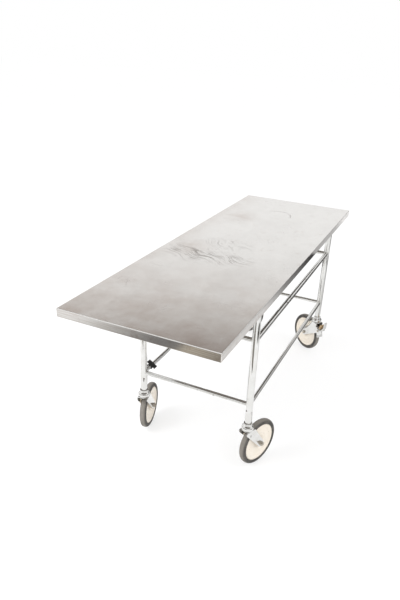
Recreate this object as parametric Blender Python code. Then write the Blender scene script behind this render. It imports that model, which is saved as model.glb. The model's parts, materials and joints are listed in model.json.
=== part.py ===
"""Body trolley: a folded stainless tray on a chrome tube stand that rolls on four swivel castors.

Metres, +Z up. The origin lies on the floor under the middle of the tray. +Y runs along the tray, from the
front end, which overhangs the legs most, to the rear end, whose two castors have foot brakes.
"""

from math import atan2, cos, pi, radians, sin, sqrt

import bmesh
import bpy
from mathutils import Matrix, Vector

# Clearances
FIT = 0.0003
RUNNING = 0.0005
MERGE = 0.000001
OVERSHOOT = 0.01

# Facets of round pieces
WHEEL_SIDES = 32
HEAD_SIDES = 20
LEG_SIDES = 20
RAIL_SIDES = 16
SMALL_SIDES = 12
HEX_SIDES = 6
ARC_STEP = radians(24)
SHARP_ANGLE = radians(35)

# Tray
TRAY_LENGTH = 1.830
TRAY_WIDTH = 0.622
TRAY_HEIGHT = 0.854
SKIRT_DEPTH = 0.033
SHEET = 0.0015
SKIRT_LIP = 0.010
FOLD_RADIUS = 0.006
FOLD_STEPS = 3

# Stand
LEG_RADIUS = 0.015
LEG_WALL = 0.002
LEG_INSET = 0.0547
FRONT_OVERHANG = 0.484
REAR_OVERHANG = 0.2015
UPPER_RAIL_HEIGHT = 0.644
UPPER_RAIL_RADIUS = 0.011
LOWER_RAIL_HEIGHT = 0.3385
LOWER_RAIL_RADIUS = 0.0095
END_RAIL_RADIUS = 0.0095
RAIL_WALL = 0.0015
BEARER_RADIUS = 0.011
CROSS_BEARER_RADIUS = 0.0095
BEARER_END_GAP = 0.012

# Wheels
WHEEL_RADIUS = 0.108
TYRE_WIDTH = 0.030
TYRE_DEPTH = 0.020
TREAD_WIDTH = 0.010
TYRE_SHOULDER = 0.003
TYRE_BEAD = 0.0015
RIM_HALF_WIDTH = 0.0125
RIM_LAND = 0.012
RIM_SLOPE = 0.008
WEB_HALF_WIDTH = 0.0085
HUB_RADIUS = 0.0185
HUB_FILLET = 0.008
HUB_SETBACK = 0.003
AXLE_RADIUS = 0.006
BUSH_WALL = 0.0022
HEX_RADIUS = 0.0105
BOLT_HEAD_DEPTH = 0.0065
NUT_DEPTH = 0.009
BOLT_TAIL = 0.004

# Castor forks and swivel heads
TRAIL = 0.075
TYRE_CLEARANCE = 0.004
FORK_SHEET = 0.003
FORK_BEND = 0.005
CROWN_REACH = 0.028
CROWN_CORNER = 0.010
FORK_FOOT_RADIUS = 0.017
RACE_RADIUS = 0.0245
RACE_HEIGHT = 0.004
CUP_RADIUS = 0.0265
CUP_HEIGHT = 0.012
CUP_EDGE = 0.002
CUP_SHOULDER = 0.007
NECK_RADIUS = 0.0185
NECK_HEIGHT = 0.0095
STEM_LENGTH = 0.085
STEM_CHAMFER = 0.002
KINGPIN_RADIUS = 0.007
RIVET_RADIUS = 0.011
RIVET_DEPTH = 0.0035
SCREW_RISE = 0.0655
SCREW_RADIUS = 0.0037
SCREW_SINK = 0.0008
SCREW_DEPTH = 0.008

# Foot brakes
PIVOT_AHEAD = 0.046
PIVOT_HEIGHT = 0.172
PIVOT_RADIUS = 0.004
PIVOT_HEAD_RADIUS = 0.0065
PIVOT_HEAD_DEPTH = 0.0025
EAR_RADIUS = 0.009
PEDAL_HUB_RADIUS = 0.0068
SHOE_GAP = 0.010
SHOE_SHEET = 0.003
SHOE_START = radians(142)
SHOE_END = radians(172)
SHOE_MARGIN = 0.001
PEDAL_SHEET = 0.004
PEDAL_AHEAD = 0.056
PEDAL_HEIGHT = 0.208
PEDAL_HALF_WIDTH = 0.013
PAD_LENGTH = 0.030
PAD_THICKNESS = 0.012
PAD_SIDE_WALL = 0.004
RELEASE_AHEAD = 0.074
RELEASE_HEIGHT = 0.195
RELEASE_TAB_AHEAD = 0.079
RELEASE_TAB_HEIGHT = 0.236
RELEASE_HALF_WIDTH = 0.0095

# Rail clip
CLIP_OFFSET = 0.062
CLIP_LENGTH = 0.026
CLIP_WALL = 0.0035
CLIP_OPENING = radians(70)
CLIP_TILT = radians(-34)
CLIP_PLATE_LENGTH = 0.047
CLIP_PLATE_SHEET = 0.003

# Places worked out from the sizes above
LEG_X = TRAY_WIDTH / 2 - LEG_INSET
FRONT_Y = FRONT_OVERHANG - TRAY_LENGTH / 2
REAR_Y = TRAY_LENGTH / 2 - REAR_OVERHANG
TRAY_UNDER = TRAY_HEIGHT - SHEET
BEARER_Z = TRAY_UNDER - FIT - BEARER_RADIUS
BEARER_X = LEG_X - LEG_RADIUS - BEARER_RADIUS - FIT
FACET_GROWTH = 1 / cos(pi / WHEEL_SIDES)
TYRE_REACH = WHEEL_RADIUS * FACET_GROWTH
FORK_GAP = TYRE_WIDTH / 2 + TYRE_CLEARANCE
FORK_OUTSIDE = FORK_GAP + FORK_SHEET
CROWN_UNDER = WHEEL_RADIUS + sqrt(TYRE_REACH**2 - (TRAIL - CROWN_REACH) ** 2) + TYRE_CLEARANCE
CROWN_TOP = CROWN_UNDER + FORK_SHEET
RACE_TOP = CROWN_TOP + RACE_HEIGHT
CUP_BOTTOM = RACE_TOP + FIT
NECK_TOP = CUP_BOTTOM + CUP_HEIGHT + CUP_SHOULDER + NECK_HEIGHT
LEG_FOOT = NECK_TOP + FIT
STEM_RADIUS = LEG_RADIUS - LEG_WALL - FIT
SCREW_Z = LEG_FOOT + SCREW_RISE
SCREW_OUTSIDE = LEG_RADIUS - SCREW_SINK
WHEEL_CENTRE = (TRAIL, WHEEL_RADIUS)
PIVOT = (-PIVOT_AHEAD, PIVOT_HEIGHT)
PEDAL_END = (-PEDAL_AHEAD, PEDAL_HEIGHT)
SHOE_RADIUS = TYRE_REACH + SHOE_GAP
PEDAL_REACH = FORK_GAP - RUNNING

# Each corner: which side, which end, the way its fork trails, the way its stem screw faces, and its brake
CORNERS = {
    "front_left": {"x": -LEG_X, "y": FRONT_Y, "trail": radians(103), "screw": radians(-60), "brake": False},
    "front_right": {"x": LEG_X, "y": FRONT_Y, "trail": radians(69.5), "screw": radians(-120), "brake": False},
    "rear_left": {"x": -LEG_X, "y": REAR_Y, "trail": radians(40), "screw": radians(60), "brake": True},
    "rear_right": {"x": LEG_X, "y": REAR_Y, "trail": radians(143.8), "screw": radians(120), "brake": True},
}


# Scene and materials

def clear_scene():
    for obj in list(bpy.data.objects):
        bpy.data.objects.remove(obj)


def finish(name, colour, roughness, metallic):
    material = bpy.data.materials.new(name)
    material.use_nodes = True
    shader = material.node_tree.nodes["Principled BSDF"]
    shader.inputs["Base Color"].default_value = (*colour, 1.0)
    shader.inputs["Roughness"].default_value = roughness
    shader.inputs["Metallic"].default_value = metallic
    return material


# Meshes

def mesh_of(bm):
    """The closed mesh of a bmesh, its doubles merged and its faces pointing out, shaded smooth."""
    bmesh.ops.remove_doubles(bm, verts=bm.verts, dist=MERGE)
    bmesh.ops.recalc_face_normals(bm, faces=bm.faces)
    mesh = bpy.data.meshes.new("shape")
    bm.to_mesh(mesh)
    bm.free()
    return mesh


def turned(profile, sides, start=0.0):
    """Spins (radius, height) points round Z: a ring, or a solid where the profile begins and ends on the axis."""
    bm = bmesh.new()
    verts = [bm.verts.new((radius * cos(start), radius * sin(start), height)) for radius, height in profile]
    edges = [bm.edges.new(pair) for pair in zip(verts, verts[1:])]
    if profile[0][0] > 0:
        edges.append(bm.edges.new((verts[-1], verts[0])))
    axis = {"cent": (0, 0, 0), "axis": (0, 0, 1), "angle": 2 * pi, "steps": sides}
    bmesh.ops.spin(bm, geom=verts + edges, use_merge=True, **axis)
    return mesh_of(bm)


def rod(radius, low, high, sides=SMALL_SIDES):
    return turned([(0, high), (radius, high), (radius, low), (0, low)], sides)


def laid_along_y(mesh):
    """Turns a shape that was spun round Z so that its axis lies along Y, with Z up become Y."""
    mesh.transform(Matrix.Rotation(-pi / 2, 4, "X"))
    return mesh


def prism(outline, half_width):
    """Extrudes an outline of (x, z) points both ways along Y."""
    bm = bmesh.new()
    face = bm.faces.new([bm.verts.new((x, -half_width, z)) for x, z in outline])
    extruded = bmesh.ops.extrude_face_region(bm, geom=[face])["geom"]
    moved = [item for item in extruded if isinstance(item, bmesh.types.BMVert)]
    bmesh.ops.translate(bm, verts=moved, vec=(0, 2 * half_width, 0))
    return mesh_of(bm)


def arc(centre, radius, start, end):
    """Points along an arc, both ends included."""
    steps = max(2, round(abs(end - start) / ARC_STEP))
    angles = [start + (end - start) * step / steps for step in range(steps + 1)]
    return [(centre[0] + radius * cos(a), centre[1] + radius * sin(a)) for a in angles]


def belt(*circles):
    """The convex outline round (centre, radius) circles, as a belt would lie round them."""
    points = sorted({p for centre, radius in circles for p in arc(centre, radius, 0, 2 * pi)})
    outline = []
    for ordered in (points, points[::-1]):
        chain = []
        for point in ordered:
            while len(chain) > 1 and turn(chain[-2], chain[-1], point) <= 0:
                chain.pop()
            chain.append(point)
        outline += chain[:-1]
    return outline


def turn(a, b, c):
    """Positive where the way from a over b to c bends to the left."""
    return (b[0] - a[0]) * (c[1] - a[1]) - (b[1] - a[1]) * (c[0] - a[0])


def carved(base, *steps):
    """The base mesh after each (operation, mesh) Boolean, as one finished mesh."""
    body = bpy.data.objects.new("body", base)
    bpy.context.scene.collection.objects.link(body)
    helpers = [body]
    for operation, mesh in steps:
        helper = bpy.data.objects.new("helper", mesh)
        bpy.context.scene.collection.objects.link(helper)
        helpers.append(helper)
        modifier = body.modifiers.new(operation, "BOOLEAN")
        modifier.operation = operation
        modifier.object = helper
    graph = bpy.context.evaluated_depsgraph_get()
    result = bpy.data.meshes.new_from_object(body.evaluated_get(graph))
    for helper in helpers:
        bpy.data.objects.remove(helper)
    return result


def piece(name, mesh, material, parent=None, place=(0.0, 0.0, 0.0), angle=0.0):
    """A named sub-part: the mesh in its finish, at its place under its parent."""
    mesh.materials.clear()
    mesh.materials.append(material)
    mesh.shade_smooth()
    mesh.set_sharp_from_angle(angle=SHARP_ANGLE)
    obj = bpy.data.objects.new(name, mesh)
    bpy.context.scene.collection.objects.link(obj)
    obj.parent = parent
    obj.location = place
    obj.rotation_euler = (0, 0, angle)
    return obj


def joint_axis(name, parent=None, place=(0.0, 0.0, 0.0), angle=0.0):
    """An empty on a joint's axis, which carries what moves with it."""
    empty = bpy.data.objects.new(name, None)
    bpy.context.scene.collection.objects.link(empty)
    empty.parent = parent
    empty.location = place
    empty.rotation_euler = (0, 0, angle)
    return empty


# Tray

def tray_shell():
    """The sheet as folded: top, skirts and the lip turned in under each skirt."""
    bm = bmesh.new()
    bmesh.ops.create_cube(bm, size=1)
    size = (TRAY_WIDTH, TRAY_LENGTH, SKIRT_DEPTH)
    bmesh.ops.scale(bm, vec=size, verts=bm.verts)
    bmesh.ops.translate(bm, vec=(0, 0, TRAY_HEIGHT - SKIRT_DEPTH / 2), verts=bm.verts)
    bottom = min(bm.faces, key=lambda face: face.calc_center_median().z)
    rim = list(bottom.edges)
    bmesh.ops.delete(bm, geom=[bottom], context="FACES_ONLY")
    lip = bmesh.ops.extrude_edge_only(bm, edges=rim)["geom"]
    for vert in (item for item in lip if isinstance(item, bmesh.types.BMVert)):
        vert.co.x -= SKIRT_LIP if vert.co.x > 0 else -SKIRT_LIP
        vert.co.y -= SKIRT_LIP if vert.co.y > 0 else -SKIRT_LIP
    folds = [edge for edge in bm.edges if len(edge.link_faces) == 2 and not is_mitre(edge)]
    bmesh.ops.bevel(bm, geom=folds, offset=FOLD_RADIUS, segments=FOLD_STEPS, affect="EDGES", profile=0.5)
    bmesh.ops.recalc_face_normals(bm, faces=bm.faces)
    mesh = bpy.data.meshes.new("tray")
    bm.to_mesh(mesh)
    bm.free()
    return mesh


def is_mitre(edge):
    """The slanting joint of two lips in a corner, which lies flat and isn't a fold."""
    first, second = (face.normal for face in edge.link_faces)
    return first.cross(second).length < MERGE


def make_tray(steel):
    tray = piece("tray", tray_shell(), steel)
    wall = tray.modifiers.new("sheet", "SOLIDIFY")
    wall.thickness = SHEET
    wall.offset = -1
    wall.use_even_offset = True


# Stand

def coped_tube(start, end, radius, wall, seat_radius=0.0, seat_upright=True):
    """A tube along X or Y whose ends are cut to lie round the posts or bearers that it meets.

    seat_radius is what the tube's ends meet at start and end, plus the gap: an upright post, or with
    seat_upright false a lying bearer. With 0 the ends are cut square.
    """
    start, end = Vector(start), Vector(end)
    along = (end - start).normalized()
    across = along.cross((0, 0, 1))
    bm = bmesh.new()
    loops = []
    for ring_radius, from_start in ((radius, 1), (radius, 0), (radius - wall, 0), (radius - wall, 1)):
        loop = []
        for side in range(RAIL_SIDES):
            angle = 2 * pi * side / RAIL_SIDES
            aside, up = ring_radius * cos(angle), ring_radius * sin(angle)
            offset = aside if seat_upright else up
            setback = sqrt(seat_radius**2 - offset**2) if seat_radius else 0.0
            middle = start + along * setback if from_start else end - along * setback
            loop.append(bm.verts.new(middle + across * aside + Vector((0, 0, up))))
        loops.append(loop)
    for first, second in zip(loops, loops[1:] + loops[:1]):
        for side in range(RAIL_SIDES):
            after = (side + 1) % RAIL_SIDES
            bm.faces.new((first[side], first[after], second[after], second[side]))
    return mesh_of(bm)


def leg_tube():
    """One leg, bored near its foot for the screw that holds the castor's stem."""
    bore = LEG_RADIUS - LEG_WALL
    top = TRAY_UNDER - FIT
    tube = turned([(LEG_RADIUS, top), (LEG_RADIUS, LEG_FOOT), (bore, LEG_FOOT), (bore, top)], LEG_SIDES)
    hole = rod(SCREW_RADIUS + FIT, bore - LEG_WALL, LEG_RADIUS + OVERSHOOT)
    hole.transform(Matrix.Translation((0, 0, SCREW_Z)) @ Matrix.Rotation(pi / 2, 4, "Y"))
    return carved(tube, ("DIFFERENCE", hole))


def make_stand(chrome, dark_steel):
    leg = leg_tube()
    screw = rod(SCREW_RADIUS, SCREW_OUTSIDE - SCREW_DEPTH, SCREW_OUTSIDE)
    screw.transform(Matrix.Rotation(pi / 2, 4, "Y"))
    for corner, at in CORNERS.items():
        place = (at["x"], at["y"], 0)
        piece(f"leg_{corner}", leg, chrome, place=place, angle=at["screw"])
        piece(f"stem_screw_{corner}", screw, dark_steel, place=(*place[:2], SCREW_Z), angle=at["screw"])
    levels = {
        "upper": (UPPER_RAIL_HEIGHT, UPPER_RAIL_RADIUS),
        "lower": (LOWER_RAIL_HEIGHT, LOWER_RAIL_RADIUS),
    }
    for level, (height, radius) in levels.items():
        for side, x in (("left", -LEG_X), ("right", LEG_X)):
            rail = coped_tube((x, FRONT_Y, height), (x, REAR_Y, height), radius, RAIL_WALL, LEG_RADIUS + FIT)
            piece(f"{level}_rail_{side}", rail, chrome)
        for end, y in (("front", FRONT_Y), ("rear", REAR_Y)):
            ends = (-LEG_X, y, height), (LEG_X, y, height)
            rail = coped_tube(*ends, END_RAIL_RADIUS, RAIL_WALL, LEG_RADIUS + FIT)
            piece(f"{level}_rail_{end}", rail, chrome)


def make_bearers(chrome):
    """The bearers that the tray lies on, welded to the inner sides of the legs."""
    reach = TRAY_LENGTH / 2 - SHEET - BEARER_END_GAP
    for side, x in (("left", -BEARER_X), ("right", BEARER_X)):
        tube = coped_tube((x, -reach, BEARER_Z), (x, reach, BEARER_Z), BEARER_RADIUS, RAIL_WALL)
        piece(f"bearer_{side}", tube, chrome)
    rows = {
        "front": CROSS_BEARER_RADIUS - reach,
        "front_legs": FRONT_Y,
        "rear_legs": REAR_Y,
        "rear": reach - CROSS_BEARER_RADIUS,
    }
    for row, y in rows.items():
        ends = (-BEARER_X, y, BEARER_Z), (BEARER_X, y, BEARER_Z)
        tube = coped_tube(*ends, CROSS_BEARER_RADIUS, RAIL_WALL, BEARER_RADIUS + FIT, seat_upright=False)
        piece(f"cross_bearer_{row}", tube, chrome)


def make_clip(black):
    """A snap clip on the lower left rail, with a flat plate that slopes down to the inside."""
    inside = LOWER_RAIL_RADIUS + FIT
    outside = inside + CLIP_WALL
    start, end = CLIP_OPENING / 2 - pi / 2, 3 * pi / 2 - CLIP_OPENING / 2
    ring = prism(arc((0, 0), outside, start, end) + arc((0, 0), inside, end, start), CLIP_LENGTH / 2)
    low, high = inside + FIT, inside + FIT + CLIP_PLATE_SHEET
    half = CLIP_PLATE_LENGTH / 2
    plate = prism([(-half, low), (half, low), (half, high), (-half, high)], CLIP_LENGTH / 2 - RUNNING)
    plate.transform(Matrix.Rotation(-CLIP_TILT, 4, "Y"))
    clip = carved(ring, ("UNION", plate))
    piece("rail_clip", clip, black, place=(-LEG_X, FRONT_Y + CLIP_OFFSET, LOWER_RAIL_HEIGHT))


# Castors

def mirrored(half):
    """A turned profile from its half on the +height side."""
    return half + [(radius, -height) for radius, height in reversed(half)]


def wheel_profile():
    rim = WHEEL_RADIUS - TYRE_DEPTH - FIT
    bore = AXLE_RADIUS + FIT + BUSH_WALL + FIT
    land = rim - RIM_LAND
    half = [
        (bore, FORK_GAP - HUB_SETBACK),
        (HUB_RADIUS, FORK_GAP - HUB_SETBACK),
        (HUB_RADIUS + HUB_FILLET, WEB_HALF_WIDTH),
        (land - RIM_SLOPE, WEB_HALF_WIDTH),
        (land, RIM_HALF_WIDTH),
        (rim, RIM_HALF_WIDTH),
    ]
    return mirrored(half)


def tyre_profile():
    bead = WHEEL_RADIUS - TYRE_DEPTH
    half = TYRE_WIDTH / 2
    tread = TREAD_WIDTH / 2
    corner = (half + tread) / 2
    outline = [
        (bead, half - TYRE_BEAD),
        (bead + TYRE_BEAD, half),
        (WHEEL_RADIUS - (half - tread), half),
        (WHEEL_RADIUS - TYRE_SHOULDER, corner),
        (WHEEL_RADIUS, tread),
    ]
    return mirrored(outline)


def wheel_turned(profile):
    """A wheel piece round Y, with the middle of a facet at its lowest point and at its full radius."""
    grown = [(radius * FACET_GROWTH, height) for radius, height in profile]
    return laid_along_y(turned(grown, WHEEL_SIDES, start=pi / WHEEL_SIDES))


def bush():
    inside = AXLE_RADIUS + FIT
    half = FORK_GAP - RUNNING
    return laid_along_y(turned(mirrored([(inside, half), (inside + BUSH_WALL, half)]), SMALL_SIDES))


def axle_bolt():
    head = FORK_OUTSIDE + FIT
    tail = FORK_OUTSIDE + FIT + NUT_DEPTH + BOLT_TAIL
    shank = rod(AXLE_RADIUS, -tail, head + BOLT_HEAD_DEPTH / 2)
    hexagon = rod(HEX_RADIUS, head, head + BOLT_HEAD_DEPTH, HEX_SIDES)
    return laid_along_y(carved(hexagon, ("UNION", shank)))


def axle_nut():
    near = -FORK_OUTSIDE - FIT
    bore = rod(AXLE_RADIUS + FIT, near - NUT_DEPTH - OVERSHOOT, near + OVERSHOOT)
    return laid_along_y(carved(rod(HEX_RADIUS, near - NUT_DEPTH, near, HEX_SIDES), ("DIFFERENCE", bore)))


def swivel_head():
    """Stem, neck, bearing cup, kingpin and its riveted end, turned in one, bored for the stem screw."""
    cup_top = CUP_BOTTOM + CUP_HEIGHT
    rivet_top = CROWN_UNDER - FIT
    stem_top = LEG_FOOT + STEM_LENGTH
    profile = [
        (0, stem_top),
        (STEM_RADIUS - STEM_CHAMFER, stem_top),
        (STEM_RADIUS, stem_top - STEM_CHAMFER),
        (STEM_RADIUS, NECK_TOP),
        (NECK_RADIUS, NECK_TOP),
        (NECK_RADIUS, cup_top + CUP_SHOULDER),
        (CUP_RADIUS - CUP_EDGE, cup_top),
        (CUP_RADIUS, cup_top - CUP_EDGE),
        (CUP_RADIUS, CUP_BOTTOM),
        (KINGPIN_RADIUS, CUP_BOTTOM),
        (KINGPIN_RADIUS, rivet_top),
        (RIVET_RADIUS, rivet_top),
        (RIVET_RADIUS - RIVET_DEPTH, rivet_top - RIVET_DEPTH),
        (0, rivet_top - RIVET_DEPTH),
    ]
    socket = rod(SCREW_RADIUS + FIT, SCREW_OUTSIDE - SCREW_DEPTH - FIT, LEG_RADIUS + OVERSHOOT)
    socket.transform(Matrix.Translation((0, 0, SCREW_Z)) @ Matrix.Rotation(pi / 2, 4, "Y"))
    return carved(turned(profile, HEAD_SIDES), ("DIFFERENCE", socket))


def channel():
    """The fork blank: a strip bent to an upside-down U across the wheel, as long as the fork is."""
    inside = FORK_BEND - FORK_SHEET
    foot = WHEEL_RADIUS - FORK_FOOT_RADIUS - OVERSHOOT
    corner = (FORK_OUTSIDE - FORK_BEND, CROWN_TOP - FORK_BEND)
    outer = [(FORK_OUTSIDE, foot)] + arc(corner, FORK_BEND, 0, pi / 2)
    inner = arc(corner, inside, pi / 2, 0) + [(FORK_GAP, foot)]
    left_outer = [(-y, z) for y, z in reversed(outer)]
    left_inner = [(-y, z) for y, z in reversed(inner)]
    length = CROWN_REACH + TRAIL + FORK_FOOT_RADIUS + OVERSHOOT
    blank = prism(outer + left_outer + left_inner + inner, length)
    blank.transform(Matrix.Rotation(pi / 2, 4, "Z"))
    return blank


def fork(braked):
    """The blank trimmed to its side outline, with the lower bearing race and its holes."""
    corner_z = CROWN_TOP - CROWN_CORNER
    front = ((CROWN_CORNER - CROWN_REACH, corner_z), CROWN_CORNER + FIT)
    rear = ((CROWN_REACH - CROWN_CORNER, corner_z), CROWN_CORNER + FIT)
    side = prism(belt(front, rear, (WHEEL_CENTRE, FORK_FOOT_RADIUS)), FORK_OUTSIDE + OVERSHOOT)
    race = rod(RACE_RADIUS, CROWN_TOP - FORK_SHEET / 2, RACE_TOP, HEAD_SIDES)
    kingpin = rod(KINGPIN_RADIUS + RUNNING, CROWN_UNDER - OVERSHOOT, RACE_TOP + OVERSHOOT)
    axle = laid_along_y(rod(AXLE_RADIUS + FIT, -FORK_OUTSIDE - OVERSHOOT, FORK_OUTSIDE + OVERSHOOT))
    axle.transform(Matrix.Translation((TRAIL, 0, WHEEL_RADIUS)))
    steps = [("INTERSECT", side)]
    if braked:
        steps += [("UNION", plate) for plate in brake_cheeks()]
    steps += [("UNION", race), ("DIFFERENCE", kingpin), ("DIFFERENCE", axle)]
    if braked:
        pin = laid_along_y(rod(PIVOT_RADIUS + FIT, -FORK_OUTSIDE - OVERSHOOT, FORK_OUTSIDE + OVERSHOOT))
        pin.transform(Matrix.Translation((PIVOT[0], 0, PIVOT[1])))
        steps.append(("DIFFERENCE", pin))
    return carved(channel(), *steps)


def brake_cheeks():
    """The plates that widen the fork's two cheeks ahead, from crown and axle to the pedal's pivot pin."""
    root = ((0, CROWN_UNDER - EAR_RADIUS - FORK_BEND), EAR_RADIUS)
    foot = (WHEEL_CENTRE, FORK_FOOT_RADIUS - RUNNING)
    outline = belt(root, (PIVOT, EAR_RADIUS), foot)
    for side in (-1, 1):
        plate = prism(outline, FORK_SHEET / 2 - RUNNING / 2)
        plate.transform(Matrix.Translation((0, side * (FORK_GAP + FORK_SHEET / 2), 0)))
        yield plate


# Foot brakes

def pedal_lever():
    """Hub, brake shoe, pedal arm and release arm, welded into one lever."""
    hub = laid_along_y(rod(PEDAL_HUB_RADIUS, -PEDAL_REACH, PEDAL_REACH))
    shoe_back = SHOE_RADIUS + SHOE_SHEET
    shoe_outline = arc(WHEEL_CENTRE, shoe_back, SHOE_START, SHOE_END)
    shoe_outline += arc(WHEEL_CENTRE, SHOE_RADIUS, SHOE_END, SHOE_START)
    shoe = prism(shoe_outline, PEDAL_REACH - SHOE_MARGIN)
    bearing = atan2(PIVOT[1] - WHEEL_CENTRE[1], PIVOT[0] - WHEEL_CENTRE[0])
    seat = arc(WHEEL_CENTRE, SHOE_RADIUS + SHOE_SHEET / 2, bearing, bearing)[0]
    web = prism(belt((PIVOT, PEDAL_HUB_RADIUS / 2), (seat, SHOE_SHEET / 2)), PEDAL_HALF_WIDTH)
    arm = pedal_arm(PEDAL_SHEET / 2, PEDAL_HALF_WIDTH - RUNNING)
    bend = (-RELEASE_AHEAD, RELEASE_HEIGHT)
    tab = (-RELEASE_TAB_AHEAD, RELEASE_TAB_HEIGHT)
    rise = prism(belt((PIVOT, PEDAL_SHEET / 2), (bend, PEDAL_SHEET / 2)), RELEASE_HALF_WIDTH)
    toe = prism(belt((bend, PEDAL_SHEET / 2), (tab, PEDAL_SHEET / 2)), RELEASE_HALF_WIDTH - RUNNING)
    bore = laid_along_y(rod(PIVOT_RADIUS + FIT, -FORK_GAP - OVERSHOOT, FORK_GAP + OVERSHOOT))
    for round_piece in (hub, bore):
        round_piece.transform(Matrix.Translation((PIVOT[0], 0, PIVOT[1])))
    joined = [("UNION", mesh) for mesh in (web, shoe, arm, rise, toe)]
    lever = carved(hub, *joined, ("DIFFERENCE", bore))
    lever.transform(Matrix.Translation((-PIVOT[0], 0, -PIVOT[1])))
    return lever


def pedal_arm(half_sheet, half_width):
    return prism(belt((PIVOT, half_sheet), (PEDAL_END, half_sheet)), half_width)


def pedal_pad():
    """A moulded sleeve pushed over the end of the pedal arm."""
    arm = Vector(PEDAL_END) - Vector(PIVOT)
    back = Vector(PEDAL_END) - arm.normalized() * (PAD_LENGTH - PAD_THICKNESS)
    rounds = (tuple(back), PAD_THICKNESS / 2), (PEDAL_END, PAD_THICKNESS / 2)
    block = prism(belt(*rounds), PEDAL_HALF_WIDTH + PAD_SIDE_WALL)
    pocket = pedal_arm(PEDAL_SHEET / 2 + FIT, PEDAL_HALF_WIDTH - RUNNING + FIT)
    pad = carved(block, ("DIFFERENCE", pocket))
    pad.transform(Matrix.Translation((-PIVOT[0], 0, -PIVOT[1])))
    return pad


def pivot_pin():
    """The pin through both cheeks, headed at both ends."""
    half = FORK_OUTSIDE + FIT
    outer = half + PIVOT_HEAD_DEPTH
    profile = [(0, outer), (PIVOT_HEAD_RADIUS, outer), (PIVOT_HEAD_RADIUS, half), (PIVOT_RADIUS, half)]
    return laid_along_y(turned(mirrored(profile), SMALL_SIDES))


def make_castors(chrome, cream, rubber, bronze, zinc, tan):
    shapes = {
        "wheel_disc": (wheel_turned(wheel_profile()), cream),
        "tyre": (wheel_turned(tyre_profile()), rubber),
        "hub_bush": (bush(), bronze),
    }
    head = swivel_head()
    forks = {braked: fork(braked) for braked in (False, True)}
    bolt, nut = axle_bolt(), axle_nut()
    lever, pad, pin = pedal_lever(), pedal_pad(), pivot_pin()
    axle_place = (TRAIL, 0, WHEEL_RADIUS)
    pivot_place = (PIVOT[0], 0, PIVOT[1])
    for corner, at in CORNERS.items():
        piece(f"swivel_head_{corner}", head, chrome, place=(at["x"], at["y"], 0), angle=at["screw"])
        swivel = joint_axis(f"swivel_axis_{corner}", place=(at["x"], at["y"], 0), angle=at["trail"])
        piece(f"fork_{corner}", forks[at["brake"]], chrome, swivel)
        piece(f"axle_bolt_{corner}", bolt, zinc, swivel, axle_place)
        piece(f"axle_nut_{corner}", nut, zinc, swivel, axle_place)
        axle = joint_axis(f"wheel_axis_{corner}", swivel, axle_place)
        for name, (mesh, material) in shapes.items():
            piece(f"{name}_{corner}", mesh, material, axle)
        if at["brake"]:
            piece(f"brake_pin_{corner}", pin, zinc, swivel, pivot_place)
            pedal = joint_axis(f"pedal_axis_{corner}", swivel, pivot_place)
            piece(f"brake_lever_{corner}", lever, chrome, pedal)
            piece(f"pedal_pad_{corner}", pad, tan, pedal)


def main():
    clear_scene()
    chrome = finish("chrome_plate", (0.80, 0.80, 0.79), 0.12, 1.0)
    steel = finish("stainless_sheet", (0.66, 0.65, 0.63), 0.32, 1.0)
    cream = finish("cream_enamel", (0.80, 0.72, 0.60), 0.40, 0.0)
    rubber = finish("grey_tyre_rubber", (0.09, 0.085, 0.08), 0.75, 0.0)
    bronze = finish("bronze_bush", (0.45, 0.30, 0.14), 0.40, 1.0)
    dark_steel = finish("blackened_steel", (0.06, 0.055, 0.05), 0.45, 1.0)
    zinc = finish("worn_zinc", (0.42, 0.39, 0.35), 0.45, 1.0)
    black = finish("black_moulding", (0.02, 0.02, 0.02), 0.50, 0.0)
    tan = finish("tan_rubber", (0.42, 0.31, 0.20), 0.70, 0.0)
    make_tray(steel)
    make_bearers(chrome)
    make_stand(chrome, dark_steel)
    make_clip(black)
    make_castors(chrome, cream, rubber, bronze, zinc, tan)


main()
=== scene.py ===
# %% [markdown]
# # A body trolley in stainless sheet and chrome tube
# This lesson dresses a finished mechanical model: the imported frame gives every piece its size, place and
# joint, and the cells below give each piece its real surface. Nothing here moves a mechanical part. A
# piece whose facets would show is built again, smooth, in the same space, and stands for the part it
# covers.

# %% Load the frame and keep its box
import json
from functools import partial
from math import atan2, cos, hypot, pi, radians, sin, sqrt

import bmesh
import bpy
from mathutils import Matrix, Vector


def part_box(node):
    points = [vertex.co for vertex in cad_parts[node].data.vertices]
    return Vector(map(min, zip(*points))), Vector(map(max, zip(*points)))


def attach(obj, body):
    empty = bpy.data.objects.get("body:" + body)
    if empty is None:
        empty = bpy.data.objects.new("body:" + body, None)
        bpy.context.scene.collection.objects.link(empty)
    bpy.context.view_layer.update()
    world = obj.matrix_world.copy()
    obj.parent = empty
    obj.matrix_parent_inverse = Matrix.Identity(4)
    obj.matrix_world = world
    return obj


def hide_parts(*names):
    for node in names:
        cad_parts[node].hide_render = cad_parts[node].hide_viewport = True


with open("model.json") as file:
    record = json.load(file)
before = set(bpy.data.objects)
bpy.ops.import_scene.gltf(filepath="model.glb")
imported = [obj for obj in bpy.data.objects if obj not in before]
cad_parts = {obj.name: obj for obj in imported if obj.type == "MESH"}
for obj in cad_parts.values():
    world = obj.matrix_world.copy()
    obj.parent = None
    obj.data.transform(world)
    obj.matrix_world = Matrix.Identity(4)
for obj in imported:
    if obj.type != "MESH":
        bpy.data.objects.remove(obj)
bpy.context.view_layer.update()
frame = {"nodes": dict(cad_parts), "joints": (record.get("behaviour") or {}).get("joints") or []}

# %% [markdown]
# ## Where things are
# A castor is easiest to draw in its own frame: X along the way the wheel trails, Y along the axle and Z
# up from the floor under the kingpin. The joints of the frame give that place and turn for each corner,
# so one drawing of a castor serves all four.

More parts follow.
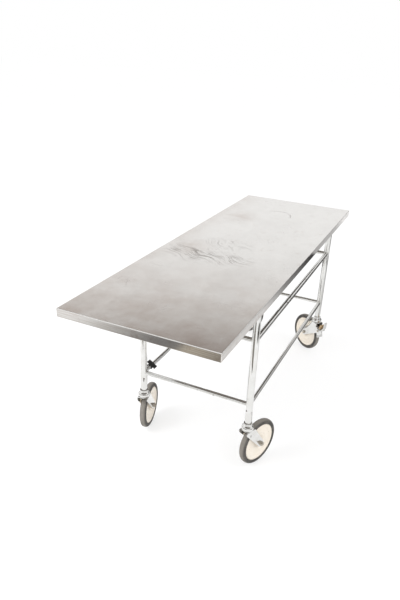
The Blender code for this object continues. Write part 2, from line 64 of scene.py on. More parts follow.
# %% Castor places from the joints
joints = {joint["name"]: joint for joint in frame["joints"]}
CORNERS = ("front_left", "front_right", "rear_left", "rear_right")
BRAKED = [corner for corner in CORNERS if f"brake_{corner}" in joints]

kingpin = {corner: Vector(joints[f"swivel_{corner}"]["pos_m"]) for corner in CORNERS}
axle_point = {corner: Vector(joints[f"roll_{corner}"]["pos_m"]) for corner in CORNERS}
castor_place = {}
for corner in CORNERS:
    trail_way = axle_point[corner] - kingpin[corner]
    turn = Matrix.Rotation(atan2(trail_way.y, trail_way.x), 4, "Z")
    castor_place[corner] = Matrix.Translation((kingpin[corner].x, kingpin[corner].y, 0)) @ turn


def local_box(node, place):
    """Lowest and highest corner of a CAD node, measured in the frame that place sets up."""
    back = place.inverted()
    points = [back @ vert.co for vert in frame["nodes"][node].data.vertices]
    low = Vector(min(point[axis] for point in points) for axis in range(3))
    high = Vector(max(point[axis] for point in points) for axis in range(3))
    return low, high


def radius_about(node, centre):
    """How far a node reaches from an upright axis."""
    return max((vert.co - centre).xy.length for vert in frame["nodes"][node].data.vertices)


wheel_radius = axle_point["front_left"].z
trail = (axle_point["front_left"] - kingpin["front_left"]).xy.length
fork_low, fork_high = local_box("fork_front_left", castor_place["front_left"])
leg_foot, leg_top = (corner_point.z for corner_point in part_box("leg_front_left"))
leg_radius = radius_about("leg_front_left", kingpin["front_left"])
tyre_half = local_box("tyre_front_left", castor_place["front_left"])[1].y
fork_half = fork_high.y
print(f"wheel radius {wheel_radius * 1000:.1f} mm, trail {trail * 1000:.1f} mm")
print(f"leg {leg_radius * 2000:.1f} mm")

# %% [markdown]
# ## Two small tools for node trees
# Colours are written as a paint chart knows them, in sRGB hex, and one function turns them into the
# linear values that Blender mixes. Nodes could be set up line by line, but that buries a short recipe
# under bookkeeping. So a second function adds one node, sets it, links it and hands back one of its
# outputs, and the recipes below read like sums. Inputs come by name or in the node's own order: a Map
# Range takes the value, the range that it comes from and the range that it goes to.

# %% Colour and node helpers
MM = 0.001
MATH, VECTOR, RANGE, MIX = "ShaderNodeMath", "ShaderNodeVectorMath", "ShaderNodeMapRange", "ShaderNodeMix"
NOISE, CELLS, BUMP = "ShaderNodeTexNoise", "ShaderNodeTexVoronoi", "ShaderNodeBump"
PLACE, MAPPING, SEPARATE = "ShaderNodeTexCoord", "ShaderNodeMapping", "ShaderNodeSeparateXYZ"
ATTRIBUTE, SHADER, OUTPUT = "ShaderNodeAttribute", "ShaderNodeBsdfPrincipled", "ShaderNodeOutputMaterial"


def linear(text):
    """Linear RGBA from an sRGB hex value."""
    channels = [int(text[start:start + 2], 16) / 255 for start in (1, 3, 5)]
    return (*[c / 12.92 if c <= 0.04045 else ((c + 0.055) / 1.055) ** 2.4 for c in channels], 1.0)


def add(tree, kind, inputs=(), out=0, stops=(), **settings):
    """Adds a node with its settings, links and ramp stops, and hands back one of its outputs."""
    node = tree.nodes.new(kind)
    for name, value in settings.items():
        setattr(node, name, value)
    for name, value in inputs.items() if isinstance(inputs, dict) else enumerate(inputs):
        if isinstance(value, bpy.types.NodeSocket):
            tree.links.new(value, node.inputs[name])
        else:
            node.inputs[name].default_value = value
    for _ in stops[2:]:
        node.color_ramp.elements.new(1.0)
    for index, stop in enumerate(stops):
        element = node.color_ramp.elements[index]
        element.position, element.color = stop
    return node.outputs[out] if node.outputs else node


def new_material(name):
    """An empty material, and the function that adds nodes to it."""
    material = bpy.data.materials.new(name)
    material.use_nodes = True
    material.node_tree.nodes.clear()
    return material, partial(add, material.node_tree)


print("half grey in sRGB is", round(linear("#808080")[0], 3), "in linear light")

# %% [markdown]
# ## Scratches on the sheet
# Years of sliding things about leave fine scratches that cross each other. They could be drawn one by one
# as curves, but nobody reads them as single lines, so a pattern is enough: the borders of very long, thin
# cells, in three directions. A coarse noise thins them out, because use is never even. A second helper
# gives a soft oval patch, for marks that have a place of their own.

# %% Scratches and patches
SCRATCHES = ((18, 26, 420), (-41, 34, 300), (72, 60, 520))  # turn in degrees, spacing and length in mm


def patch(make, at, centre, radii, inner=0.4, strength=1.0):
    """A soft oval patch on the top, strongest in the middle and 0 outside."""
    size = [1 / radius for radius in radii]
    place = [-c * s for c, s in zip(centre, size)]
    local = make(MAPPING, {"Vector": at, "Location": (*place, 0), "Scale": (*size, 0)})
    away = make(VECTOR, (local,), "Value", operation="LENGTH")
    return make(RANGE, (away, inner, 1.0, strength, 0.0))


def scratches(make, at):
    """Fine broken lines in three directions."""
    lines = 0.0
    for angle, width, length in SCRATCHES:
        stretch = {"Rotation": (0, 0, radians(angle)), "Scale": (width * MM, length * MM, 1)}
        drawn_out = make(MAPPING, {"Vector": at, **stretch}, vector_type="TEXTURE")
        cells = {"Vector": drawn_out, "Scale": 1.0}
        border = make(CELLS, cells, feature="DISTANCE_TO_EDGE", voronoi_dimensions="2D")
        line = make(RANGE, (border, 0.004, 0.016, 1.0, 0.0))
        lines = make(MATH, (line, lines), operation="MAXIMUM")
    uneven = make(NOISE, {"Vector": at, "Scale": 1 / (110 * MM), "Detail": 3.0})
    return make(MATH, (lines, make(RANGE, (uneven, 0.52, 0.66))), operation="MULTIPLY")


print("scratches:", len(SCRATCHES), "directions")

# %% [markdown]
# ## Strokes of a dirty cloth
# In the middle of the top a dirty cloth has left a tangle of dark strokes, and further back a single
# hook. A painted picture of them would be fixed to one size, so they are grown from noise. Noise that is
# drawn out along one direction gives streaks, a coarser noise bends them, and oval patches say where the
# cloth went. The hook is part of a ring: the points at one distance from a centre, made wavy by a little
# noise.

# %% Strokes
CLOTH_MARKS = (  # centre, radii, strength
    ((-0.12, -0.18), (0.22, 0.12), 1.0),
    ((0.04, -0.17), (0.11, 0.08), 0.9),
    ((-0.07, 0.0), (0.16, 0.09), 0.6),
)
CLOTH_TURN = radians(-36)
HOOK_CENTRE = (-0.017, 0.588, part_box("tray")[1].z)
HOOK_RADIUS = 75 * MM


def hook(make, at):
    """A thin wavy ring, of which the patch in strokes() keeps one end."""
    away = make(VECTOR, (at, HOOK_CENTRE), "Value", operation="DISTANCE")
    uneven = make(NOISE, {"Vector": at, "Scale": 1 / (40 * MM), "Detail": 3.0})
    wavy = make(MATH, (away, make(RANGE, (uneven, 0.3, 0.7, -5 * MM, 5 * MM))))
    beside = make(MATH, (wavy, HOOK_RADIUS), operation="SUBTRACT")
    return make(RANGE, (make(MATH, (beside,), operation="ABSOLUTE"), MM, 6 * MM, 0.8, 0.0))


def strokes(make, at):
    """Dark strokes: bent streaks in ragged patches, and one hook."""
    drift = make(NOISE, {"Vector": at, "Scale": 1 / (240 * MM), "Detail": 1.5}, "Color")
    aside = make(VECTOR, (drift, (0.5, 0.5, 0.5)), operation="SUBTRACT")
    bent = make(VECTOR, (aside, (0.3, 0.3, 0.0), at), operation="MULTIPLY_ADD")
    stretch = {"Rotation": (0, 0, CLOTH_TURN), "Scale": (120 * MM, 13 * MM, 1)}
    drawn_out = make(MAPPING, {"Vector": bent, **stretch}, vector_type="TEXTURE")
    threads = make(NOISE, {"Vector": drawn_out, "Scale": 1.0, "Detail": 3.0, "Roughness": 0.6})
    streaks = make(RANGE, (threads, 0.48, 0.64))
    torn = make(NOISE, {"Vector": at, "Scale": 1 / (70 * MM), "Detail": 4.0, "Roughness": 0.6})
    ragged = make(RANGE, (torn, 0.36, 0.58))
    cloth = 0.0
    for centre, radii, strength in CLOTH_MARKS:
        mark = patch(make, at, centre, radii, 0.2, strength)
        cloth = make(MATH, (mark, cloth), operation="MAXIMUM")
    cloth = make(MATH, (cloth, streaks), operation="MULTIPLY")
    end = make(MATH, (hook(make, at), patch(make, at, (0.02, 0.66), (0.11, 0.10), 0.6)), operation="MULTIPLY")
    marks = make(MATH, (cloth, end), operation="MAXIMUM")
    return make(MATH, (marks, ragged), operation="MULTIPLY")


print("strokes:", len(CLOTH_MARKS), "patches and a hook")

# %% [markdown]
# ## Films of dirt
# The top turns browner towards the front end. A brown film lies along the left side and in two stains,
# with small specks all over. The skirts were brushed along their length and have been held by many
# hands. Dirt like this could be sculpted into masks by hand. Ramps along the sheet times a cloudy noise
# do the same and stay easy to move.

# %% Films
def top_film(make, at):
    """How brown the top is: towards the front end, along the left side, in two stains and in specks."""
    # Browner towards the front end.
    film = make(RANGE, (make(SEPARATE, (at,), "Y"), -0.15, -0.93, 0.0, 0.75))
    left = make(RANGE, (make(SEPARATE, (at,), "X"), -0.19, -0.30, 0.0, 0.35))
    stains = [patch(make, at, place, (0.13, 0.15), 0.1, 0.55) for place in ((-0.19, 0.45), (-0.20, -0.12))]
    for part in (left, *stains):
        film = make(MATH, (film, part), operation="MAXIMUM")
    clouds = make(NOISE, {"Vector": at, "Scale": 1 / (120 * MM), "Detail": 6.0, "Roughness": 0.65})
    film = make(MATH, (film, make(RANGE, (clouds, 0.32, 0.66, 0.25, 1.0))), operation="MULTIPLY")
    specks = make(NOISE, {"Vector": at, "Scale": 1 / (30 * MM), "Detail": 8.0, "Roughness": 0.7})
    return make(MATH, (film, make(RANGE, (specks, 0.58, 0.74, 0.0, 0.45))), operation="MAXIMUM")


def skirt_film(make, at):
    """Brushed streaks 3 mm high, and hand marks about 30 mm wide."""
    brushed = make(MAPPING, {"Vector": at, "Scale": (8, 8, 1 / (3 * MM))})
    streaks = make(NOISE, {"Vector": brushed, "Scale": 1.0, "Detail": 3.0, "Roughness": 0.6})
    hands = make(NOISE, {"Vector": at, "Scale": 1 / (30 * MM), "Detail": 4.0, "Roughness": 0.6})
    streaked = make(RANGE, (streaks, 0.40, 0.68, 0.0, 0.5))
    return make(MATH, (streaked, make(RANGE, (hands, 0.52, 0.70, 0.0, 0.6))), operation="MAXIMUM")


print("films: top and skirts")

# %% [markdown]
# ## Stainless sheet
# The tray is rolled austenitic stainless with a satin mill finish. To the eye that is a bright metal
# whose reflections are blurred. Wiping leaves cloudy smears, which change the roughness, so they show in
# the reflections and not as painted marks. The fold is painted brighter, as a painted highlight, and the
# underside is painted darker, as painted shade. A texture painted for each side would do, but here one
# material serves all of the sheet: the mesh says which way each face looks, and each mark keeps to the
# top, the skirts, the fold or the underside.

# %% Stainless sheet
def stainless_sheet():
    material, make = new_material("stainless_rolled_satin")
    at = make(PLACE, out="Object")
    looks = make(ATTRIBUTE, out="Fac", attribute_name="facing", attribute_type="GEOMETRY")
    top, under = make(RANGE, (looks, 0.80, 0.97)), make(RANGE, (looks, -0.5, -0.9))
    scratch = make(MATH, (scratches(make, at), top), operation="MULTIPLY")
    stroke = make(MATH, (strokes(make, at), top), operation="MULTIPLY")
    # Rolling lines are about 0.05 mm apart, drawn at 1.2 mm so that they show in the render.
    rolled = make(MAPPING, {"Vector": at, "Scale": (1 / (1.2 * MM), 1 / (90 * MM), 1)})
    lines = make(NOISE, {"Vector": rolled, "Scale": 1.0, "Detail": 3.0})
    wiped = make(MAPPING, {"Vector": at, "Rotation": (0, 0, radians(24)), "Scale": (1, 0.45, 1)})
    cloudy = {"Scale": 1 / (150 * MM), "Detail": 6.0, "Roughness": 0.62, "Distortion": 0.9}
    smear = make(RANGE, (make(NOISE, {"Vector": wiped, **cloudy}), 0.36, 0.66, 0.0, 0.06))
    rough = make(RANGE, (looks, 0.2, 0.9, 0.10, 0.19))
    rough = make(MATH, (rough, smear))
    rough = make(MATH, (rough, make(RANGE, (lines, 0.3, 0.7, -0.012, 0.012))))
    rough = make(MATH, (scratch, 0.08, rough), operation="MULTIPLY_ADD")
    dulled = make(MATH, (stroke, under), operation="MAXIMUM")
    rough = make(MATH, (dulled, 0.2, rough), operation="MULTIPLY_ADD")
    above = make(MATH, (top_film(make, at), top), operation="MULTIPLY")
    beside = make(MATH, (skirt_film(make, at), make(RANGE, (looks, 0.6, 0.2))), operation="MULTIPLY")
    film = make(MATH, (above, beside), operation="MAXIMUM")
    colour = make(MIX, {0: film, 6: linear("#eae8e5"), 7: linear("#bfb0a6")}, 2, data_type="RGBA")
    # The fold faces are painted brighter than the sheet: a painted highlight along the top fold.
    below_top, above_skirt = make(RANGE, (looks, 0.99, 0.92, 0.0, 0.85)), make(RANGE, (looks, 0.1, 0.3))
    fold = make(MATH, (below_top, above_skirt), operation="MINIMUM")
    colour = make(MIX, {0: fold, 6: colour, 7: linear("#fbfaf8")}, 2, data_type="RGBA")
    # The cloth strokes are real grime. The whole underside is darkened too, as painted shade for the shade
    # under the tray.
    grime_and_underside_shade = make(MATH, (stroke, 0.7), operation="MULTIPLY")
    grime_and_underside_shade = make(MATH, (grime_and_underside_shade, make(MATH, (under, 0.95), operation="MULTIPLY")), operation="MAXIMUM")
    colour = make(MIX, {0: grime_and_underside_shade, 6: colour, 7: linear("#7d756e")}, 2, data_type="RGBA")
    relief = make(MATH, (scratch, -0.6, lines), operation="MULTIPLY_ADD")
    bump = make(BUMP, {"Height": relief, "Strength": 0.02, "Distance": 0.3 * MM})
    shader = make(SHADER, {"Base Color": colour, "Metallic": 1.0, "Roughness": rough, "Normal": bump})
    make(OUTPUT, {"Surface": shader})
    return material


stainless = stainless_sheet()
print("material:", stainless.name, "with", len(stainless.node_tree.nodes), "nodes")

# %% [markdown]
# ## Chrome plate
# The stand and the castor forks are steel, nickel plated and then chromed: a hard mirror with a slight
# blue cast. Old plate is dulled by a film of dirt that gathers in patches, pin-holes let the steel below
# rust through in small dark specks, and a few long spots are worn bare. A plain mirror would look new,
# and rust from one noise would look like sand. The specks lie in clusters, so a coarse noise decides
# where they show.

# %% Chrome plate
def chrome_plate():
    material, make = new_material("chrome_plate_aged")
    at = make(PLACE, out="Object")
    film = make(NOISE, {"Vector": at, "Scale": 1 / (45 * MM), "Detail": 5.0, "Roughness": 0.6})
    dull = make(RANGE, (film, 0.38, 0.70, 0.05, 0.20))
    speck = make(RANGE, (make(CELLS, {"Vector": at, "Scale": 1 / (4 * MM)}), 0.10, 0.22, 1.0, 0.0))
    clusters = make(NOISE, {"Vector": at, "Scale": 1 / (35 * MM), "Detail": 2.0})
    specks = make(MATH, (speck, make(RANGE, (clusters, 0.60, 0.70))), operation="MULTIPLY")
    tall = make(MAPPING, {"Vector": at, "Scale": (1, 1, 0.35)})
    spots = make(NOISE, {"Vector": tall, "Scale": 1 / (16 * MM), "Detail": 3.0, "Roughness": 0.6})
    rust = make(MATH, (specks, make(RANGE, (spots, 0.69, 0.73, 0.0, 0.9))), operation="MAXIMUM")
    plate = make(MIX, {0: film, 6: linear("#f0f1f1"), 7: linear("#d6d4cf")}, 2, data_type="RGBA")
    colour = make(MIX, {0: rust, 6: plate, 7: linear("#4a3c30")}, 2, data_type="RGBA")
    rough = make(MATH, (rust, 0.5, dull), operation="MULTIPLY_ADD")
    pits = make(BUMP, {"Height": rust, "Strength": 0.25, "Distance": 0.15 * MM}, invert=True)
    shader = make(SHADER, {"Base Color": colour, "Metallic": 1.0, "Roughness": rough, "Normal": pits})
    make(OUTPUT, {"Surface": shader})
    return material


chrome = chrome_plate()
print("material:", chrome.name, "with", len(chrome.node_tree.nodes), "nodes")

# %% [markdown]
# ## Cream enamel
# The wheel centres are pressed steel in stove enamel: a warm cream with an even satin gloss, darker grey
# in a ring round the hub, rubbed grey along the rim where the tyre chafes, and chipped here and there. The
# dark rings could be painted on each wheel. They follow the distance from the axle, so each wheel mesh
# carries that distance as an attribute instead, and a fine noise breaks the rings up.

# %% Cream enamel
def cream_enamel(hub_radius, rim_radius):
    material, make = new_material("cream_stove_enamel")
    at = make(PLACE, out="Object")
    radius = make(ATTRIBUTE, out="Fac", attribute_name="radius", attribute_type="GEOMETRY")
    clouds = make(NOISE, {"Vector": at, "Scale": 1 / (32 * MM), "Detail": 5.0, "Roughness": 0.6})
    clean = make(MIX, {0: clouds, 6: linear("#fbf4e9"), 7: linear("#f2e6d5")}, 2, data_type="RGBA")
    # Darker round the hub, fading out by nearly twice its radius.
    dark_round_hub = make(RANGE, (radius, hub_radius, hub_radius * 1.9, 0.85, 0.0))
    chafed = make(RANGE, (radius, rim_radius - 7 * MM, rim_radius, 0.0, 0.7))
    worn = make(MATH, (dark_round_hub, chafed), operation="MAXIMUM")
    grit = make(NOISE, {"Vector": at, "Scale": 1 / (6 * MM), "Detail": 6.0, "Roughness": 0.7})
    dirt = make(MATH, (worn, make(RANGE, (grit, 0.36, 0.66))), operation="MULTIPLY")
    dirty = make(MIX, {0: dirt, 6: clean, 7: linear("#8d8069")}, 2, data_type="RGBA")
    chips = make(RANGE, (make(CELLS, {"Vector": at, "Scale": 1 / (14 * MM)}), 0.06, 0.09, 1.0, 0.0))
    colour = make(MIX, {0: chips, 6: dirty, 7: linear("#6d5c48")}, 2, data_type="RGBA")
    peel = make(NOISE, {"Vector": at, "Scale": 1 / (3 * MM), "Detail": 2.0})
    level = make(MATH, (chips, -1.5, peel), operation="MULTIPLY_ADD")
    bump = make(BUMP, {"Height": level, "Strength": 0.12, "Distance": 0.2 * MM})
    rough = make(RANGE, (dirt, 0.0, 1.0, 0.34, 0.62))
    shader = make(SHADER, {"Base Color": colour, "Roughness": rough, "IOR": 1.5, "Normal": bump})
    make(OUTPUT, {"Surface": shader})
    return material


print("recipe: cream stove enamel")

# %% [markdown]
# ## Tyre rubber
# The tyres are solid black rubber. With age wax blooms out of it and dust sticks to that, so the walls
# have turned a dusty dark grey and the tread, which the floor rubs, is paler still. One flat grey would
# lose the round of the tyre. The tread is found by its distance from the axle, as on the enamel.

# %% Tyre rubber
def tyre_rubber(tread_radius):
    material, make = new_material("bloomed_tyre_rubber")
    at = make(PLACE, out="Object")
    radius = make(ATTRIBUTE, out="Fac", attribute_name="radius", attribute_type="GEOMETRY")
    dust = make(NOISE, {"Vector": at, "Scale": 1 / (28 * MM), "Detail": 7.0, "Roughness": 0.65})
    tread = make(RANGE, (radius, tread_radius - 7 * MM, tread_radius - MM, 0.0, 0.85))
    pale = make(MATH, (make(RANGE, (dust, 0.42, 0.70, 0.0, 0.5)), tread), operation="MAXIMUM")
    colour = make(MIX, {0: pale, 6: linear("#403e3c"), 7: linear("#8a857e")}, 2, data_type="RGBA")
    pores = make(NOISE, {"Vector": at, "Scale": 1 / (1.2 * MM), "Detail": 4.0})
    bump = make(BUMP, {"Height": pores, "Strength": 0.3, "Distance": 0.3 * MM})
    rough = make(RANGE, (dust, 0.3, 0.7, 0.62, 0.86))
    shader = make(SHADER, {"Base Color": colour, "Roughness": rough, "IOR": 1.52, "Normal": bump})
    make(OUTPUT, {"Surface": shader})
    return material


print("recipe: bloomed tyre rubber")

# %% [markdown]
# ## The small finishes
# Screws, bolts, bushes, balls, the clip and the pedal pads are too small for marks of their own. What the
# eye gets from each is two close tones in patches of a certain size, and how shiny it is. So one recipe
# serves them all, and the values below are what differs.

# %% Small finishes
def mottled(name, low, high, size, roughness, metallic=0.0, relief=0.2):
    """A finish of two close tones in patches of a real size, with a little relief."""
    material, make = new_material(name)
    at = make(PLACE, out="Object")
    patches = make(NOISE, {"Vector": at, "Scale": 1 / size, "Detail": 6.0, "Roughness": 0.65})
    tone = make(RANGE, (patches, 0.35, 0.68))
    colour = make(MIX, {0: tone, 6: linear(low), 7: linear(high)}, 2, data_type="RGBA")
    rough = make(RANGE, (tone, 0.0, 1.0, roughness * 0.8, min(1.0, roughness * 1.25)))
    bump = make(BUMP, {"Height": patches, "Strength": relief, "Distance": 0.3 * MM})
    shader = make(SHADER, {"Base Color": colour, "Metallic": metallic, "Roughness": rough, "Normal": bump})
    make(OUTPUT, {"Surface": shader})
    return material


# Steel blackened by heat and oil: dark with browner bare patches.
dark_steel = mottled("blackened_oiled_steel", "#4b4640", "#857b6d", 5 * MM, 0.42, metallic=1.0)
# Zinc plate on the axle bolts: a dull pale grey, browned where it has worn through.
zinc = mottled("worn_zinc_plate", "#a2998c", "#d2ccc2", 7 * MM, 0.40, metallic=1.0)
# Sintered bronze: a dull gold, darkened by grease.
bronze = mottled("sintered_bronze", "#7d5f37", "#a5814e", 4 * MM, 0.42, metallic=1.0)
# Bearing balls: plain hardened steel under a film of grease.
ball_steel = mottled("greased_ball_steel", "#6f6d69", "#a9a7a2", 3 * MM, 0.28, metallic=1.0, relief=0.05)
# Injection moulded nylon: near black, with a fine even grain.
black_nylon = mottled("black_moulded_nylon", "#161616", "#262524", 1.5 * MM, 0.5)
# Tan rubber, walked smooth: warm brown with darker scuffs.
tan_rubber = mottled("tan_pedal_rubber", "#a88e6c", "#cbb28c", 7 * MM, 0.66)
small_finishes = (dark_steel, zinc, bronze, ball_steel, black_nylon, tan_rubber)
print("small finishes:", ", ".join(finish.name for finish in small_finishes))

# %% [markdown]
# ## Making and placing a piece
# Each finished piece is a plain mesh whose vertices already lie in place, so its object can stay at the
# origin. Objects could be moved and turned instead, but then a pattern on Object coordinates would slide
# when the piece is baked. Each piece gets its finish and the body that it moves with, and the faceted
# parts that it stands for are hidden. What every castor has is drawn once and copied to its corners.

# %% Piece helpers
SHARP_DEGREES = 32


def piece(name, mesh, material, body, slot, *nodes):
    mesh.materials.clear()
    mesh.materials.append(material)
    obj = bpy.data.objects.new(name, mesh)
    bpy.context.scene.collection.objects.link(obj)
    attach(obj, body)
    if nodes:
        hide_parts(*nodes)
    return obj


def moved(mesh, place):
    """A copy of the mesh in its place."""
    copy = mesh.copy()
    copy.transform(place)
    return copy


def on_castors(name, mesh, material, body, slot, node=None, corners=CORNERS):
    """The same mesh at each of these corners, turned as that castor trails."""
    for corner in corners:
        nodes = [f"{node}_{corner}"] if node else []
        copy = moved(mesh, castor_place[corner])
        piece(f"{name}_{corner}", copy, material, f"{body}_{corner}", slot, *nodes)


def smooth_mesh(bm):
    """The bmesh as a mesh: doubles merged, faces out, smooth with sharp edges kept."""
    bmesh.ops.remove_doubles(bm, verts=bm.verts, dist=1e-7)
    bmesh.ops.recalc_face_normals(bm, faces=bm.faces)
    mesh = bpy.data.meshes.new("shape")
    bm.to_mesh(mesh)
    bm.free()
    mesh.shade_smooth()
    mesh.set_sharp_from_angle(angle=radians(SHARP_DEGREES))
    return mesh


def applied(mesh, *modifiers):
    """The mesh after (type, settings) modifiers. A setting that is a mesh becomes a helper object for it."""
    body = bpy.data.objects.new("work", mesh)
    bpy.context.scene.collection.objects.link(body)
    helpers = [body]
    for kind, settings in modifiers:
        modifier = body.modifiers.new(kind, kind)
        for name, value in settings.items():
            if isinstance(value, bpy.types.Mesh):
                value = bpy.data.objects.new("helper", value)
                bpy.context.scene.collection.objects.link(value)
                helpers.append(value)
            setattr(modifier, name, value)
    graph = bpy.context.evaluated_depsgraph_get()
    result = bpy.data.meshes.new_from_object(body.evaluated_get(graph))
    for helper in helpers:
        bpy.data.objects.remove(helper)
    result.shade_smooth()
    result.set_sharp_from_angle(angle=radians(SHARP_DEGREES))
    return result


print("edges that turn by more than", SHARP_DEGREES, "degrees stay sharp")

# %% [markdown]
# ## The tray
# On the real trolley a flat blank is folded down on four sides, the corners are welded and dressed round,
# and a narrow lip is turned in so that the edge is safe to hold. A scaled cube with a bevel would have no
# lip and no control of the fold, so the sheet is drawn as its outer skin: a grid for the top, then one
# loop after another down the fold, the skirt and the lip. Solidify gives it the thickness of the sheet. A
# large sheet is never quite flat, so the grid sinks by a fraction of a millimetre in soft waves, which is
# what makes the reflections on it bend. A narrow row beside each fold keeps the shading of the flat faces
# flat.

# %% Tray section
FOLD = 2.5 * MM
TURN_IN = 2 * MM
LIP = 10 * MM
SHEET = 1.5 * MM
WAVE = 0.45 * MM
HOLD = 1.0 * MM
FOLD_STEPS = 6
TRAY_COLUMNS, TRAY_ROWS = 40, 110
tray_low, tray_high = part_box("tray")
tray_half = (tray_high.x - FOLD, tray_high.y - FOLD)


def sheet_sink(x, y):
    """How far the sheet lies below flat: long shallow waves that die out at the folds."""
    across, along = (cos(pi / 2 * value / half) for value, half in zip((x, y), tray_half))
    waves = 0.5 + 0.25 * sin(9.0 * x + 3.1 * y) + 0.25 * sin(4.3 * y - 6.0 * x + 1.0)
    return -WAVE * waves * across * along


def tray_section():
    """(outward, height) steps from the flat top round the fold, down the skirt and under the lip."""
    angles = [pi / 2 * step / FOLD_STEPS for step in range(FOLD_STEPS + 1)]
    steps = [(FOLD * sin(angle), tray_high.z - FOLD * (1 - cos(angle))) for angle in angles[1:]]
    steps += [(FOLD, tray_high.z - FOLD - HOLD), (FOLD, tray_low.z + TURN_IN + HOLD)]
    steps += [(FOLD - TURN_IN * (1 - cos(a)), tray_low.z + TURN_IN * (1 - sin(a))) for a in angles]
    return steps + [(FOLD - LIP, tray_low.z)]


def spaced(half, count):
    """Even steps from one fold to the other, with a narrow step at each end."""
    inner = half - HOLD
    return [-half] + [inner * (2 * i / (count - 2) - 1) for i in range(count - 1)] + [half]


def stepped_out(point, facing, outward):
    """The rim point moved outwards, or inwards along both sides at once where the lip is mitred."""
    x, y = point
    if outward >= 0:
        return x + outward * cos(facing), y + outward * sin(facing)
    reach_x, reach_y = tray_high.x - LIP, tray_high.y - LIP
    return max(-reach_x, min(reach_x, x)), max(-reach_y, min(reach_y, y))


print("tray section:", len(tray_section()), "steps from the top to the lip")

# %% [markdown]
# The skin can now be laid. The rim is walked once round, side by side, and at each corner it turns in
# small steps on the spot, so that every loop below it gets a round corner without any special case. The
# mesh then notes for each face how far it looks up, which is what the stainless finish asks for.

# %% Tray skin
def tray_skin():
    """The top grid and the loops round it, as one open skin."""
    half_x, half_y = tray_half
    xs, ys = spaced(half_x, TRAY_COLUMNS), spaced(half_y, TRAY_ROWS)
    bm = bmesh.new()
    grid = [[bm.verts.new((x, y, tray_high.z + sheet_sink(x, y))) for x in xs] for y in ys]
    for row, next_row in zip(grid, grid[1:]):
        for i in range(TRAY_COLUMNS):
            bm.faces.new((row[i], row[i + 1], next_row[i + 1], next_row[i]))
    sides = (
        ([(x, -half_y) for x in xs], -pi / 2),
        ([(half_x, y) for y in ys], 0.0),
        ([(x, half_y) for x in xs[::-1]], pi / 2),
        ([(-half_x, y) for y in ys[::-1]], pi),
    )
    rim = []
    for points, facing in sides:
        rim += [(point, facing) for point in points]
        rim += [(points[-1], facing + pi / 2 * step / FOLD_STEPS) for step in range(1, FOLD_STEPS)]
    before = [bm.verts.new((*point, tray_high.z)) for point, _ in rim]
    for outward, height in tray_section():
        loop = [bm.verts.new((*stepped_out(point, facing, outward), height)) for point, facing in rim]
        for k in range(len(rim)):
            after = (k + 1) % len(rim)
            bm.faces.new((before[k], before[after], loop[after], loop[k]))
        before = loop
    bmesh.ops.dissolve_degenerate(bm, dist=1e-7, edges=bm.edges)
    return smooth_mesh(bm)


thickened = ("SOLIDIFY", {"thickness": SHEET, "offset": -1.0, "use_even_offset": True})
tray_mesh = applied(tray_skin(), thickened)
facing = tray_mesh.attributes.new("facing", "FLOAT", "FACE")
facing.data.foreach_set("value", [face.normal.z for face in tray_mesh.polygons])
piece("folded_tray", tray_mesh, stainless, "frame", "stainless_sheet", "tray")
print("tray:", len(tray_mesh.polygons), "faces")

# %% [markdown]
# ## The tube stand
# The stand is drawn steel tube, brazed together before plating. Where a rail meets a leg its end is cut
# to a fish mouth. A Boolean cut would do that too, but leaves long thin faces that shade badly. The cut
# follows a simple rule, so each tube is drawn with it: at a distance u to the side of the rail's middle,
# the leg's surface lies the root of (R squared minus u squared) from the leg's axis.

# %% Tube shapes
TUBE_SIDES = 48
WALL = 1.5 * MM
SEAT_GAP = 0.3 * MM


def tube(start, end, radius, seat=0.0, upright=True):
    """A tube with a wall, its ends cut round what they meet: an upright post or a lying bearer."""
    along = (end - start).normalized()
    across = along.cross((0, 0, 1))
    up = across.cross(along)
    bm = bmesh.new()
    loops = []
    for ring, first in ((radius, True), (radius, False), (radius - WALL, False), (radius - WALL, True)):
        loop = []
        for side in range(TUBE_SIDES):
            angle = 2 * pi * side / TUBE_SIDES
            aside, above = ring * cos(angle), ring * sin(angle)
            setback = sqrt(seat**2 - (aside if upright else above) ** 2) if seat else 0.0
            middle = start + along * setback if first else end - along * setback
            loop.append(bm.verts.new(middle + across * aside + up * above))
        loops.append(loop)
    for one, two in zip(loops, loops[1:] + loops[:1]):
        for side in range(TUBE_SIDES):
            after = (side + 1) % TUBE_SIDES
            bm.faces.new((one[side], one[after], two[after], two[side]))
    return smooth_mesh(bm)


def tube_middle(node):
    """Start, end and radius of a lying CAD tube, from its box, and the axis that it lies along."""
    low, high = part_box(node)
    middle, radius = (low + high) / 2, (high.z - low.z) / 2
    axis = 0 if high.x - low.x > high.y - low.y else 1
    start, end = middle.copy(), middle.copy()
    start[axis], end[axis] = low[axis], high[axis]
    return start, end, radius, axis


rail_start, _, rail_radius, _ = tube_middle("lower_rail_left")
print(f"lower rail: {rail_radius * 2000:.1f} mm thick")

# %% [markdown]
# Eight rails run from leg to leg, at two heights. Under the tray two bearers run along it, with four
# cross bearers between them. All are the same tube() with other ends, so loops place them, and each
# brazed end is noted for the beads that come later.

# %% Rails and bearers
LEVELS, SIDES = ("upper", "lower"), ("left", "right", "front", "rear")
CROSS_BEARERS = [f"cross_bearer_{row}" for row in ("front", "front_legs", "rear_legs", "rear")]
bearers = [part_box(f"bearer_{side}") for side in ("left", "right")]
bearer_radius = (bearers[0][1].x - bearers[0][0].x) / 2
beads = []


def brazed_tube(node, start, end, radius, seat, upright):
    """A tube between two posts or two bearers. Its two joints are noted for the beads."""
    drawn = tube(start, end, radius, seat + SEAT_GAP, upright)
    piece(f"drawn_{node}", drawn, chrome, "frame", "chrome_plate", node)
    along = (end - start).normalized()
    beads.extend([(start, along, radius, upright), (end, -along, radius, upright)])


